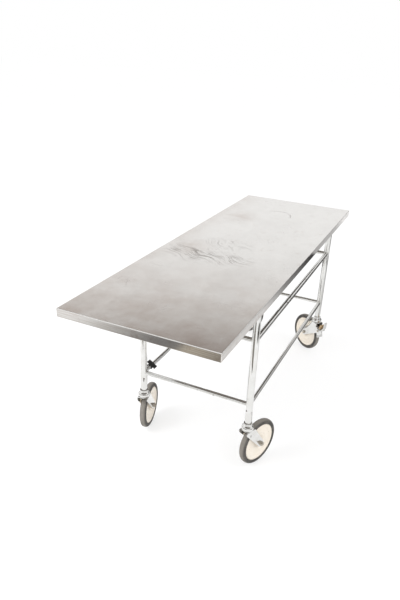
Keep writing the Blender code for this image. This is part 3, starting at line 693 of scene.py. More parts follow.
for node in [f"{level}_rail_{side}" for level in LEVELS for side in SIDES]:
    start, end, radius, axis = tube_middle(node)
    posts = sorted({round(kingpin[corner][axis], 6) for corner in CORNERS})
    start[axis], end[axis] = posts[0], posts[-1]
    brazed_tube(node, start, end, radius, leg_radius, True)
for node in ("bearer_left", "bearer_right"):
    piece(f"drawn_{node}", tube(*tube_middle(node)[:3]), chrome, "frame", "chrome_plate", node)
for node in CROSS_BEARERS:
    start, end, radius, _ = tube_middle(node)
    start.x, end.x = ((low.x + high.x) / 2 for low, high in bearers)
    brazed_tube(node, start, end, radius, bearer_radius, False)
print("tubes: 8 rails, 2 bearers and", len(CROSS_BEARERS), "cross bearers with", len(beads), "brazed joints")

# %% [markdown]
# ## Turned shapes
# Legs, screws, swivel heads, bolts and wheels all come off a lathe or a spinning tool, so one function
# spins a profile round Z. The Screw modifier does the same. A function of its own can also close the
# poles cleanly and write each vertex's distance from the axis into an attribute, which the enamel and the
# rubber ask for. A lathe leaves no knife edges, so a second function rounds off the corners of a profile
# before it is spun.

# %% Turned shapes
TURN_STEPS = 96


def turned(profile, steps=TURN_STEPS):
    """Spins (radius, height) points round Z and keeps each vertex's distance from the axis."""
    bm = bmesh.new()
    columns = []
    for step in range(steps):
        angle = 2 * pi * step / steps
        columns.append([bm.verts.new((r * cos(angle), r * sin(angle), h)) for r, h in profile])
    closed = profile[0][0] > 0
    pairs = [(k, k + 1) for k in range(len(profile) - 1)] + ([(len(profile) - 1, 0)] if closed else [])
    for step in range(steps):
        one, two = columns[step], columns[(step + 1) % steps]
        for a, b in pairs:
            corners = [one[a], two[a], two[b], one[b]]
            if profile[a][0] == 0:
                corners.remove(two[a])
            if profile[b][0] == 0:
                corners.remove(two[b])
            bm.faces.new(corners)
    mesh = smooth_mesh(bm)
    distance = mesh.attributes.new("radius", "FLOAT", "POINT")
    distance.data.foreach_set("value", [hypot(vert.co.x, vert.co.y) for vert in mesh.vertices])
    return mesh


def softened(points, radius, steps=3):
    """The open outline with each inner corner rounded off by about this radius."""
    result = [points[0]]
    for before, corner, after in zip(points, points[1:], points[2:]):
        before, corner, after = Vector(before), Vector(corner), Vector(after)
        cut_in = min(radius, (before - corner).length * 0.45)
        cut_out = min(radius, (after - corner).length * 0.45)
        start = corner + (before - corner).normalized() * cut_in
        end = corner + (after - corner).normalized() * cut_out
        for step in range(steps + 1):
            share = step / steps
            point = start * (1 - share) ** 2 + corner * 2 * share * (1 - share) + end * share**2
            result.append(tuple(point))
    return result + [points[-1]]


def rod(radius, low, high, steps=TURN_STEPS):
    return turned([(0, high), (radius, high), (radius, low), (0, low)], steps)


print("a turned piece has", TURN_STEPS, "sides unless it says otherwise")

# %% [markdown]
# ## Legs and their stem screws
# Each leg is a longer tube with a square foot, drilled for the sunk screw that holds the castor's stem.
# The hole could be a dark disc laid on the tube, but close up the eye misses its depth. So it is cut with
# a Boolean and its edge broken with a small bevel, because a drilled edge catches the light on the real
# leg. The screw is turned, with a slot cut across its end.

# %% Legs
LEG_WALL = 2 * MM
SCREW_SLOT = 1.2 * MM
SLOT_DEPTH = 1.5 * MM
ACROSS_X = Matrix.Rotation(pi / 2, 4, "Y")
screw_low, screw_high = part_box("stem_screw_front_left")
screw_height = (screw_low.z + screw_high.z) / 2
screw_radius = (screw_high.z - screw_low.z) / 2


def cut(mesh):
    return "BOOLEAN", {"operation": "DIFFERENCE", "object": mesh}


def leg():
    bore = leg_radius - LEG_WALL
    outline = [(leg_radius, leg_top), (leg_radius, leg_foot), (bore, leg_foot), (bore, leg_top)]
    hole = moved(rod(screw_radius + SEAT_GAP, bore - MM, leg_radius + 5 * MM, 32), ACROSS_X)
    hole.transform(Matrix.Translation((0, 0, screw_height)))
    edge = {"width": 0.5 * MM, "segments": 2, "limit_method": "ANGLE", "angle_limit": radians(50)}
    return applied(turned(outline, 64), cut(hole), ("BEVEL", edge))


def box_mesh(half_x, half_y, low, high):
    """A plain block, for cutting with."""
    bm = bmesh.new()
    bmesh.ops.create_cube(bm, size=1)
    bmesh.ops.scale(bm, vec=(2 * half_x, 2 * half_y, high - low), verts=bm.verts)
    bmesh.ops.translate(bm, vec=(0, 0, (low + high) / 2), verts=bm.verts)
    return smooth_mesh(bm)


def stem_screw(inner, outer):
    outline = [(0, outer), (screw_radius, outer), (screw_radius, inner), (0, inner)]
    slot = box_mesh(SCREW_SLOT / 2, screw_radius * 2, outer - SLOT_DEPTH, outer + MM)
    return moved(applied(turned(softened(outline, 0.5 * MM), 32), cut(slot)), ACROSS_X)


leg_mesh = leg()
for corner in CORNERS:
    middle = kingpin[corner]
    low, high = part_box(f"stem_screw_{corner}")
    outwards = (low + high) / 2 - middle
    turn = Matrix.Rotation(atan2(outwards.y, outwards.x), 4, "Z")
    place = Matrix.Translation((middle.x, middle.y, 0)) @ turn
    piece(f"drawn_leg_{corner}", moved(leg_mesh, place), chrome, "frame", "chrome_plate", f"leg_{corner}")
    screw_from, screw_to = (value.x for value in local_box(f"stem_screw_{corner}", place))
    screw_place = place @ Matrix.Translation((0, 0, screw_height))
    screw_mesh = moved(stem_screw(screw_from, screw_to), screw_place)
    piece(f"slotted_screw_{corner}", screw_mesh, dark_steel, "frame", "dark_steel", f"stem_screw_{corner}")
print("legs: 4, foot at", round(leg_foot * 1000, 1), "mm")

# %% [markdown]
# ## Geometry Nodes trees
# Three things on the trolley repeat or follow a path: beads along joints, balls round a race and threads
# round a bolt. Geometry Nodes suit them, because the rule is written once and its sizes stay inputs. All
# three trees have a finish as their last input and end in the same way: instances are made real, the
# faces are shaded smooth and the finish is put on. A modifier runs the tree, and what it makes is kept as
# a plain mesh.

# %% Tree helpers
def new_tree(name, **inputs):
    """An empty tree with these inputs and a finish, the function that adds to it, and what comes in."""
    tree = bpy.data.node_groups.new(name, "GeometryNodeTree")
    for label, kind in {**inputs, "Finish": "Material"}.items():
        tree.interface.new_socket(label.replace("_", " "), in_out="INPUT", socket_type=f"NodeSocket{kind}")
    tree.interface.new_socket("Result", in_out="OUTPUT", socket_type="NodeSocketGeometry")
    make = partial(add, tree)
    return tree, make, make("NodeGroupInput").node.outputs


def end_tree(make, shape, given):
    """The end that all trees share."""
    real = make("GeometryNodeRealizeInstances", {"Geometry": shape})
    smooth = make("GeometryNodeSetShadeSmooth", {"Geometry": real, "Shade Smooth": True})
    done = make("GeometryNodeSetMaterial", {"Geometry": smooth, "Material": given["Finish"]})
    make("NodeGroupOutput", {"Result": done})


def grown(name, base, tree, **sizes):
    """The plain mesh that a tree makes from the base mesh, its inputs set by identifier."""
    obj = bpy.data.objects.new(name, base)
    bpy.context.scene.collection.objects.link(obj)
    modifier = obj.modifiers.new(name, "NODES")
    modifier.node_group = tree
    named = {item.name: item.identifier for item in tree.interface.items_tree if item.in_out == "INPUT"}
    for label, value in sizes.items():
        modifier[named[label.replace("_", " ")]] = value
    graph = bpy.context.evaluated_depsgraph_get()
    mesh = bpy.data.meshes.new_from_object(obj.evaluated_get(graph))
    bpy.data.objects.remove(obj)
    return mesh


print("tree helpers: new_tree, end_tree and grown")

# %% [markdown]
# ## Brazed joints
# Every joint has a small fillet of braze that follows the line where two tubes meet. Bevelling the joined
# tubes would need all of them in one mesh. A bead that is laid over the joint looks the same: the lines
# go in as plain edges, and the tree turns them to curves and sweeps a round bead along them. A noise with
# a fixed seed varies the bead's thickness a little, as a hand-held torch does.

# %% Beads
BEAD_SEED = 3.0
WELD_RADIUS = 3.5 * MM


def bead_tree():
    tree, make, given = new_tree("brazed_bead", Paths="Geometry", Bead_radius="Float", Ripple="Float")
    curves = make("GeometryNodeMeshToCurve", {"Mesh": given["Paths"]})
    noise = {"Scale": 1 / (7 * MM), "Detail": 2.0, "W": BEAD_SEED}
    uneven = make(NOISE, noise, noise_dimensions="4D")
    swing = make(MATH, (uneven, given["Ripple"], 1.0), operation="MULTIPLY_ADD")
    sized = make("GeometryNodeSetCurveRadius", {"Curve": curves, "Radius": swing})
    ring = make("GeometryNodeCurvePrimitiveCircle", {"Resolution": 10, "Radius": given["Bead radius"]})
    end_tree(make, make("GeometryNodeCurveToMesh", {"Curve": sized, "Profile Curve": ring}), given)
    return tree


def closed_line(bm, points):
    verts = [bm.verts.new(point) for point in points]
    for one, two in zip(verts, verts[1:] + verts[:1]):
        bm.edges.new((one, two))


def around(radius, count):
    """Steps round a circle, as two distances from its centre."""
    angles = [2 * pi * step / count for step in range(count)]
    return [(radius * cos(angle), radius * sin(angle)) for angle in angles]


def joint_line(centre, along, radius, upright):
    """The closed line where a tube's surface meets the post or bearer at its end."""
    seat = leg_radius if upright else bearer_radius
    across = along.cross((0, 0, 1))
    points = []
    for aside, above in around(radius, 40):
        setback = sqrt(seat**2 - (aside if upright else above) ** 2)
        points.append(centre + along * setback + across * aside + Vector((0, 0, above)))
    return points


lines = bmesh.new()
for bead in beads:
    closed_line(lines, joint_line(*bead))
bearer_height = (bearers[0][0].z + bearers[0][1].z) / 2
for middle in kingpin.values():
    inwards = -leg_radius if middle.x > 0 else leg_radius
    touch = Vector((middle.x + inwards, middle.y, bearer_height))
    closed_line(lines, [touch + Vector((0, along, above)) for along, above in around(WELD_RADIUS, 20)])
paths = bpy.data.meshes.new("joint_lines")
lines.to_mesh(paths)
lines.free()
bead_mesh = grown("bead_work", paths, bead_tree(), Bead_radius=1.3 * MM, Ripple=0.35, Finish=chrome)
piece("brazed_beads", bead_mesh, chrome, "frame", "chrome_plate")
print("beads:", len(bead_mesh.polygons), "faces")

# %% [markdown]
# ## Swivel heads
# The top of a castor is one turned piece: a stem that goes up inside the leg, a neck, and a flared cup
# that covers the ball race. The kingpin runs down from the cup and is riveted over under the fork. It
# could be stacked from cylinders, but a lathe cuts it as one profile, and so does this cell.

# %% Swivel heads
RACE_HEIGHT = 4 * MM
FORK_SHEET = 3 * MM
CUP_HEIGHT = 12 * MM
CUP_SHOULDER = 7 * MM
CUP_LIP = 1.2 * MM
NECK_RADIUS = 18.5 * MM
NECK_GROOVE = 1.2 * MM
KINGPIN_RADIUS = 7 * MM
RIVET_RADIUS = 11 * MM
BALL_RADIUS = 1.5 * MM
BALL_RING = 23.6 * MM
cup_radius = radius_about("swivel_head_front_left", kingpin["front_left"])
rivet_bottom, stem_top = (value.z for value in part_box("swivel_head_front_left"))
race_top = fork_high.z
race_radius = cup_radius - 2 * MM
race_track = BALL_RING - BALL_RADIUS
crown_top = race_top - RACE_HEIGHT
crown_under = crown_top - FORK_SHEET
cup_low = race_top + SEAT_GAP
neck_top = leg_foot - SEAT_GAP


def swivel_head():
    stem = leg_radius - LEG_WALL - SEAT_GAP
    cup_top = cup_low + CUP_HEIGHT
    groove_top = neck_top - 4 * MM
    rivet_top = crown_under - SEAT_GAP
    lip = cup_radius - CUP_LIP
    stem_part = [(0, stem_top), (stem - 2 * MM, stem_top), (stem, stem_top - 2 * MM), (stem, neck_top)]
    neck = [
        (NECK_RADIUS, neck_top), (NECK_RADIUS, groove_top),
        (NECK_RADIUS - NECK_GROOVE, groove_top - NECK_GROOVE),
        (NECK_RADIUS, groove_top - 2 * NECK_GROOVE), (NECK_RADIUS, cup_top + CUP_SHOULDER),
    ]
    cup = [
        (cup_radius - 3 * MM, cup_top + MM), (cup_radius - 2.4 * MM, cup_top - MM),
        (cup_radius, cup_top - 3 * MM), (cup_radius, cup_low), (lip, cup_low), (lip, cup_low + BALL_RADIUS),
        (race_track, cup_low + BALL_RADIUS), (race_track, cup_low),
    ]
    pin = [
        (KINGPIN_RADIUS, cup_low), (KINGPIN_RADIUS, rivet_top), (RIVET_RADIUS, rivet_top),
        (RIVET_RADIUS - MM, rivet_bottom + MM), (RIVET_RADIUS - 4 * MM, rivet_bottom), (0, rivet_bottom),
    ]
    return turned(softened(stem_part + neck + cup + pin, 0.9 * MM))


head_mesh = swivel_head()
for corner in CORNERS:
    head = moved(head_mesh, Matrix.Translation((kingpin[corner].x, kingpin[corner].y, 0)))
    piece(f"turned_head_{corner}", head, chrome, "frame", "chrome_plate", f"swivel_head_{corner}")
print("swivel heads:", len(head_mesh.polygons), "faces each")

# %% [markdown]
# ## The ball races
# Under each cup a ring of balls carries the load, and their lower halves show in the slit above the fork.
# They could be copied in a loop, but a ring of equal things is the plainest job for instances: one ball
# on each point of a circle, and that ring again on each of the four kingpins.

# %% Ball races
BALL_COUNT = 40


def ball_tree():
    tree, make, given = new_tree(
        "ball_race", Kingpins="Geometry", Ring_radius="Float", Ball_radius="Float", Count="Int"
    )
    circle = {"Resolution": given["Count"], "Radius": given["Ring radius"]}
    round_ball = {"Segments": 16, "Rings": 10, "Radius": given["Ball radius"]}
    points = make("GeometryNodeCurvePrimitiveCircle", circle)
    ball = make("GeometryNodeMeshUVSphere", round_ball)
    ring = make("GeometryNodeInstanceOnPoints", {"Points": points, "Instance": ball})
    rings = make("GeometryNodeInstanceOnPoints", {"Points": given["Kingpins"], "Instance": ring})
    end_tree(make, rings, given)
    return tree


race_points = bpy.data.meshes.new("race_points")
race_points.from_pydata([(middle.x, middle.y, cup_low) for middle in kingpin.values()], [], [])
ball_sizes = {"Ring_radius": BALL_RING, "Ball_radius": BALL_RADIUS, "Count": BALL_COUNT}
ball_mesh = grown("ball_work", race_points, ball_tree(), Finish=ball_steel, **ball_sizes)
piece("race_balls", ball_mesh, ball_steel, "frame", "dark_steel")
print("balls:", len(ball_mesh.polygons), "faces")

# %% [markdown]
# ## Outlines and prisms
# Forks, lugs, levers and clips are cut from sheet, so they start as a flat outline that is pushed out to
# both sides. Outlines could be drawn point by point. Most of these are what a belt would make if it were
# pulled tight round two or three discs, which is the convex hull of their points, so a few discs say it
# all.

# %% Sheet shapes
ARC_STEP = radians(7.5)


def arc(centre, radius, start, end):
    steps = max(2, round(abs(end - start) / ARC_STEP))
    angles = [start + (end - start) * step / steps for step in range(steps + 1)]
    return [(centre[0] + radius * cos(a), centre[1] + radius * sin(a)) for a in angles]


def bend(a, b, c):
    """Positive where the way from a over b to c bends to the left."""
    return (b[0] - a[0]) * (c[1] - a[1]) - (b[1] - a[1]) * (c[0] - a[0])


def belt(*circles):
    """The convex outline round (centre, radius) circles."""
    points = sorted({p for centre, radius in circles for p in arc(centre, radius, 0, 2 * pi)})
    outline = []
    for ordered in (points, points[::-1]):
        chain = []
        for point in ordered:
            while len(chain) > 1 and bend(chain[-2], chain[-1], point) <= 0:
                chain.pop()
            chain.append(point)
        outline += chain[:-1]
    return outline


def prism(outline, half_width, middle=0.0):
    """An outline of (x, z) points pushed out both ways along Y from the middle."""
    bm = bmesh.new()
    face = bm.faces.new([bm.verts.new((x, middle - half_width, z)) for x, z in outline])
    extruded = bmesh.ops.extrude_face_region(bm, geom=[face])["geom"]
    far = [item for item in extruded if isinstance(item, bmesh.types.BMVert)]
    bmesh.ops.translate(bm, verts=far, vec=(0, 2 * half_width, 0))
    return smooth_mesh(bm)


def laid(mesh, x=0.0, z=0.0):
    """A shape spun round Z, turned to lie along Y through the point (x, z)."""
    return moved(mesh, Matrix.Translation((x, 0, z)) @ Matrix.Rotation(-pi / 2, 4, "X"))


def edged(width, angle=40):
    """A bevel that breaks the sharp edges of a cut piece."""
    settings = {"width": width, "segments": 2, "limit_method": "ANGLE", "angle_limit": radians(angle)}
    return "BEVEL", {**settings, "use_clamp_overlap": False}


def joined(mesh):
    return "BOOLEAN", {"operation": "UNION", "object": mesh}


def kept(mesh):
    return "BOOLEAN", {"operation": "INTERSECT", "object": mesh}


print("a full circle in an outline has", round(2 * pi / ARC_STEP), "steps")

# %% [markdown]
# ## Forks
# A fork is pressed from one strip: bent over the wheel into an upside-down U, then trimmed at the sides.
# It could be put together from two plates and a crown, but the real bends are round and have no seam. So
# the model is made in the order of the press: the bent strip is long enough for any outline, the side
# outline trims it, and the holes follow. The two rear forks are widened ahead by plates for the brake's
# pivot. The lower race sits on the crown.

# %% Forks
FORK_BEND = 5 * MM
CROWN_CORNER = 10 * MM
AXLE_RADIUS = 6 * MM
PIN_RADIUS = 4 * MM
EAR_RADIUS = 9 * MM
EDGE = 0.5 * MM
FAR = 20 * MM
KINGPIN_PLAY = 0.4 * MM
wheel_at = (trail, wheel_radius)
fork_gap = fork_half - FORK_SHEET
crown_reach = -fork_low.x
foot_radius = wheel_radius - fork_low.z
brake_place = castor_place[BRAKED[0]]
pivot_point = brake_place.inverted() @ Vector(joints[f"brake_{BRAKED[0]}"]["pos_m"])
pivot = (pivot_point.x, pivot_point.z)


def fork_strip():
    foot = fork_low.z - FAR
    corner = (fork_half - FORK_BEND, crown_top - FORK_BEND)
    outer = [(fork_half, foot)] + arc(corner, FORK_BEND, 0, pi / 2)
    inner = arc(corner, FORK_BEND - FORK_SHEET, pi / 2, 0) + [(fork_gap, foot)]
    section = outer + [(-y, z) for y, z in reversed(outer)]
    section += [(-y, z) for y, z in reversed(inner)] + inner
    return moved(prism(section, crown_reach + trail + FAR), Matrix.Rotation(pi / 2, 4, "Z"))


def fork(braked):
    corner_height = crown_top - CROWN_CORNER
    front = ((CROWN_CORNER - crown_reach, corner_height), CROWN_CORNER + SEAT_GAP)
    rear = ((crown_reach - CROWN_CORNER, corner_height), CROWN_CORNER + SEAT_GAP)
    side = prism(belt(front, rear, (wheel_at, foot_radius)), fork_half + FAR)
    steps = [kept(side)]
    if braked:
        root = ((0, crown_under - EAR_RADIUS - FORK_BEND), EAR_RADIUS)
        plate = belt(root, (pivot, EAR_RADIUS), (wheel_at, foot_radius - 0.5 * MM))
        plate_half = FORK_SHEET / 2 - 0.2 * MM
        steps += [joined(prism(plate, plate_half, way * (fork_gap + FORK_SHEET / 2))) for way in (-1, 1)]
        steps.append(cut(laid(rod(PIN_RADIUS, -fork_half - FAR, fork_half + FAR, 32), *pivot)))
    steps.append(cut(laid(rod(AXLE_RADIUS, -fork_half - FAR, fork_half + FAR, 32), *wheel_at)))
    steps.append(cut(rod(KINGPIN_RADIUS + KINGPIN_PLAY, crown_under - FAR, race_top + FAR, 48)))
    return applied(fork_strip(), *steps, edged(EDGE))


def lower_race():
    bore = KINGPIN_RADIUS + KINGPIN_PLAY
    outline = [
        (bore, race_top), (race_track, race_top), (race_track + 0.4 * MM, race_top - MM),
        (race_radius, race_top - 2.6 * MM), (race_radius, crown_top - MM), (bore, crown_top - MM),
    ]
    return turned(softened(outline, 0.4 * MM))


plain_fork, braked_fork = fork(False), fork(True)
plain_corners = [corner for corner in CORNERS if corner not in BRAKED]
on_castors("pressed_fork", plain_fork, chrome, "swivel", "chrome_plate", "fork", plain_corners)
on_castors("pressed_fork", braked_fork, chrome, "swivel", "chrome_plate", "fork", BRAKED)
on_castors("lower_race", lower_race(), chrome, "swivel", "chrome_plate", "fork")
print("forks: plain", len(plain_fork.polygons), "faces, braked", len(braked_fork.polygons))

# %% [markdown]
# ## Axles
# The axle is a long hexagon bolt with a nut. Hexagons are cut from bar whose ends are turned to a cone
# first, so the six corners are trimmed in shallow curves. A bevelled hexagon would have straight trims.
# The true shape is an intersection: a straight hexagon with a turned shape that has both edges chamfered.

# %% Axle bolts and nuts
HEX_RADIUS = 10.5 * MM
HEAD_DEPTH = 6.5 * MM
bolt_low, bolt_high = local_box("axle_bolt_front_left", castor_place["front_left"])
nut_low, nut_high = local_box("axle_nut_front_left", castor_place["front_left"])


def hexagon(low, high):
    """A hexagon round Z whose corners are chamfered at both ends."""
    flats = HEX_RADIUS * cos(pi / 6)
    outline = [(0, high), (flats * 0.98, high), (HEX_RADIUS, high - 1.2 * MM)]
    outline += [(HEX_RADIUS, low + 0.8 * MM), (flats * 0.99, low), (0, low)]
    return applied(rod(HEX_RADIUS, low - MM, high + MM, 6), kept(turned(outline, 72)), edged(0.25 * MM, 50))


def bolt_shank(tail, head):
    outline = [(0, head), (AXLE_RADIUS, head), (AXLE_RADIUS, tail + 1.2 * MM)]
    outline += [(AXLE_RADIUS - 1.4 * MM, tail), (0, tail)]
    return turned(softened(outline, 0.5 * MM), 48)


def combined(*meshes):
    """Several closed meshes as one."""
    bm = bmesh.new()
    for mesh in meshes:
        bm.from_mesh(mesh)
    result = bpy.data.meshes.new("combined")
    bm.to_mesh(result)
    bm.free()
    return result


head_from = bolt_high.y - HEAD_DEPTH
bolt_mesh = combined(hexagon(head_from, bolt_high.y), bolt_shank(bolt_low.y, head_from + MM))
nut_bore = cut(rod(AXLE_RADIUS + 0.2 * MM, nut_low.y - MM, nut_high.y + MM, 48))
nut_mesh = applied(hexagon(nut_low.y, nut_high.y), nut_bore)
on_castors("hex_bolt", laid(bolt_mesh, *wheel_at), zinc, "swivel", "worn_zinc", "axle_bolt")
on_castors("hex_nut", laid(nut_mesh, *wheel_at), zinc, "swivel", "worn_zinc", "axle_nut")
print("axles: bolt", len(bolt_mesh.polygons), "faces, nut", len(nut_mesh.polygons))

# %% [markdown]
# The end of the bolt that stands out of the nut is threaded. A bump pattern would give the grooves but
# leave a smooth outline, so the thread is a real ridge: a spiral curve, which the tree makes from the
# bolt's own sizes, swept with a small circle.

# %% Bolt threads
THREAD_PITCH = 1.75 * MM
RIDGE = 0.45 * MM
thread_length = nut_low.y - bolt_low.y - MM


def thread_tree():
    tree, make, given = new_tree("bolt_thread", Turns="Float", Radius="Float", Length="Float", Ridge="Float")
    sizes = {"Rotations": given["Turns"], "Start Radius": given["Radius"], "End Radius": given["Radius"]}
    spiral = make("GeometryNodeCurveSpiral", {"Resolution": 40, "Height": given["Length"], **sizes})
    ridge = make("GeometryNodeCurvePrimitiveCircle", {"Resolution": 6, "Radius": given["Ridge"]})
    sweep = {"Curve": spiral, "Profile Curve": ridge, "Fill Caps": True}
    end_tree(make, make("GeometryNodeCurveToMesh", sweep), given)
    return tree


thread_turns = thread_length / THREAD_PITCH
thread_sizes = {"Turns": thread_turns, "Radius": AXLE_RADIUS - 0.1 * MM, "Length": thread_length}
thread_base = bpy.data.meshes.new("thread_base")
thread_mesh = grown("thread_work", thread_base, thread_tree(), Ridge=RIDGE, Finish=zinc, **thread_sizes)
thread_mesh.transform(Matrix.Translation((0, 0, bolt_low.y + MM)))
on_castors("bolt_thread", laid(thread_mesh, *wheel_at), zinc, "swivel", "worn_zinc")
print(f"threads: {thread_turns:.1f} turns, {len(thread_mesh.polygons)} faces")

# %% [markdown]
# ## Wheels
# Each wheel is two steel pressings welded back to back, so it is dished: a boss at the hub, a flat web,
# and a step out to the rim that holds the tyre. A shallow ring is pressed into the web to stiffen it. The
# solid tyre has a rounded tread, a flat wall and a small groove where it meets the rim, and a bush turns
# on the axle. A torus would make a tyre too, but with the wrong section. All three are spun from half a
# profile that is mirrored, since both sides are alike.

# %% Wheels
TYRE_DEPTH = 20 * MM
RIM_HALF = 12.5 * MM
WEB_HALF = 8.5 * MM
HUB_RADIUS = 18.5 * MM
BUSH_WALL = 2.2 * MM
HUB_SETBACK = 3 * MM
TREAD_HALF = 5 * MM
rim_radius = wheel_radius - TYRE_DEPTH - SEAT_GAP


def both_sides(half):
    """A profile from its half on the +height side."""
    return half + [(radius, -height) for radius, height in reversed(half)]


def disc_profile():
    bore = AXLE_RADIUS + BUSH_WALL + 2 * SEAT_GAP
    boss = fork_gap - HUB_SETBACK
    land = rim_radius - 12 * MM
    ring = (HUB_RADIUS + land) / 2
    half = [
        (bore, boss - 0.6 * MM), (bore + 0.6 * MM, boss), (HUB_RADIUS, boss), (HUB_RADIUS + 8 * MM, WEB_HALF),
        (ring - 6 * MM, WEB_HALF), (ring - 3.5 * MM, WEB_HALF + MM),
        (ring + 3.5 * MM, WEB_HALF + MM), (ring + 6 * MM, WEB_HALF),
        (land - 8 * MM, WEB_HALF), (land, RIM_HALF), (rim_radius - MM, RIM_HALF), (rim_radius, RIM_HALF - MM),
    ]
    return both_sides(softened(half, 2.4 * MM, 5))


def tyre_profile():
    seat = wheel_radius - TYRE_DEPTH
    wall = wheel_radius - (tyre_half - TREAD_HALF)
    shoulder = (tyre_half + TREAD_HALF) / 2 + 1.2 * MM
    half = [
        (seat, tyre_half - 1.6 * MM), (seat + 1.2 * MM, tyre_half - 0.4 * MM), (seat + 3.0 * MM, tyre_half),
        (seat + 3.6 * MM, tyre_half - 0.7 * MM), (seat + 4.2 * MM, tyre_half), (wall, tyre_half),
        (wheel_radius - 2.9 * MM, shoulder), (wheel_radius, TREAD_HALF), (wheel_radius, 0.5 * MM),
    ]
    return both_sides(softened(half, 2.2 * MM, 5))


def bush_profile():
    half = fork_gap - 0.5 * MM
    inside, outside = AXLE_RADIUS + SEAT_GAP, AXLE_RADIUS + SEAT_GAP + BUSH_WALL
    return both_sides([(inside, half - 0.4 * MM), (inside + 0.4 * MM, half), (outside, half)])


disc_mesh = laid(turned(disc_profile(), 128), *wheel_at)
tyre_mesh = laid(turned(tyre_profile(), 160), *wheel_at)
bush_mesh = laid(turned(bush_profile(), 48), *wheel_at)
cream = cream_enamel(HUB_RADIUS, rim_radius)
rubber = tyre_rubber(wheel_radius)
on_castors("pressed_disc", disc_mesh, cream, "wheel", "cream_enamel", "wheel_disc")
on_castors("solid_tyre", tyre_mesh, rubber, "wheel", "tyre_rubber", "tyre")
on_castors("turned_bush", bush_mesh, bronze, "wheel", "bronze_bush", "hub_bush")
print("wheels: disc", len(disc_mesh.polygons), "faces, tyre", len(tyre_mesh.polygons))

# %% [markdown]
# ## Foot brakes
# The brake is a lever on a pin through the fork's cheeks. A foot against the padded arm swings the curved
# shoe into the tyre, and the bent strap ahead of it lifts the shoe off again. The lever is folded and
# welded sheet. One outline pushed out would have the same width everywhere, so it is joined from prisms
# of their own widths and its edges are broken afterwards.

# %% Brake levers
PEDAL_SHEET = 4 * MM
SHOE_SHEET = 3 * MM
SHOE_GAP = 10.5 * MM
SHOE_ARC = (radians(142), radians(172))
PEDAL_HALF = 13 * MM
TAB_HALF = 9.5 * MM
PEDAL_END = (-56 * MM, 208 * MM)
RELEASE_BEND = (-74 * MM, 195 * MM)
RELEASE_TAB = (-79 * MM, 236 * MM)
PEDAL_HUB = 6.8 * MM
lever_half = fork_gap - 0.5 * MM


def strap(start, end, half_sheet, half_width):
    """A strip of sheet between two points, round at its ends."""
    return prism(belt((start, half_sheet), (end, half_sheet)), half_width)


def brake_lever():
    shoe_radius = wheel_radius + SHOE_GAP
    outline = arc(wheel_at, shoe_radius + SHOE_SHEET, *SHOE_ARC) + arc(wheel_at, shoe_radius, *SHOE_ARC[::-1])
    shoe = prism(outline, lever_half - MM)
    bearing = atan2(pivot[1] - wheel_at[1], pivot[0] - wheel_at[0])
    seat_radius = shoe_radius + SHOE_SHEET / 2
    seat = (wheel_at[0] + seat_radius * cos(bearing), wheel_at[1] + seat_radius * sin(bearing))
    web = prism(belt((pivot, PEDAL_HUB / 2), (seat, SHOE_SHEET / 2)), PEDAL_HALF)
    half = PEDAL_SHEET / 2
    arm = strap(pivot, PEDAL_END, half, PEDAL_HALF - 0.5 * MM)
    rise = strap(pivot, RELEASE_BEND, half, TAB_HALF)
    toe = strap(RELEASE_BEND, RELEASE_TAB, half, TAB_HALF - 0.2 * MM)
    hub = laid(rod(PEDAL_HUB, -lever_half, lever_half, 40), *pivot)
    bore = laid(rod(PIN_RADIUS + 0.2 * MM, -lever_half - FAR, lever_half + FAR, 32), *pivot)
    steps = [joined(mesh) for mesh in (web, shoe, arm, rise, toe)]
    return applied(hub, *steps, cut(bore), edged(0.5 * MM, 50))


lever_mesh = brake_lever()
on_castors("welded_lever", lever_mesh, chrome, "brake", "chrome_plate", "brake_lever", BRAKED)
print("brake levers:", len(lever_mesh.polygons), "faces each")

# %% [markdown]
# A rubber sleeve is pushed over the end of the arm, with grooves across both faces that leave ribs for
# the foot to grip. Grooves could be a bump pattern, but the ribs break the sleeve's outline, so they are
# cut. The pin of the lever has a domed head at both ends.

# %% Pads and pins
PAD_LENGTH = 30 * MM
PAD_THICKNESS = 12 * MM
PAD_GROOVE = 1.2 * MM
GROOVES = 5
PIN_HEAD = 6.5 * MM


def pedal_pad():
    """The sleeve over the pedal's end, with grooves across both of its faces."""
    way = (Vector(PEDAL_END) - Vector(pivot)).normalized()
    back = Vector(PEDAL_END) - way * (PAD_LENGTH - PAD_THICKNESS)
    radius = PAD_THICKNESS / 2
    above = Vector((way.y, -way.x))
    width = PEDAL_HALF + 4 * MM
    block = prism(belt((tuple(back), radius), (PEDAL_END, radius)), width)
    steps = [cut(strap(pivot, PEDAL_END, PEDAL_SHEET / 2 + 0.2 * MM, PEDAL_HALF - 0.3 * MM))]
    for groove in range(GROOVES):
        share = (groove + 0.5) / GROOVES
        for face in (-1, 1):
            middle = back + way * (PAD_LENGTH - PAD_THICKNESS) * share + above * face * radius
            steps.append(cut(prism(belt((tuple(middle), PAD_GROOVE)), width - 2 * MM)))
    return applied(block, *steps, edged(0.4 * MM, 50))


def pivot_pin():
    half = fork_half + SEAT_GAP
    end = local_box(f"brake_pin_{BRAKED[0]}", brake_place)[1].y
    shank = PIN_RADIUS - 0.2 * MM
    head = [(0, end), (PIN_RADIUS, end), (PIN_HEAD, half + MM), (PIN_HEAD, half), (shank, half)]
    return turned(both_sides(softened(head, 0.8 * MM)), 40)


pad_mesh = pedal_pad()
on_castors("ribbed_pad", pad_mesh, tan_rubber, "brake", "tan_rubber", "pedal_pad", BRAKED)
on_castors("headed_pin", laid(pivot_pin(), *pivot), zinc, "swivel", "worn_zinc", "brake_pin", BRAKED)
print("pads:", len(pad_mesh.polygons), "faces each")

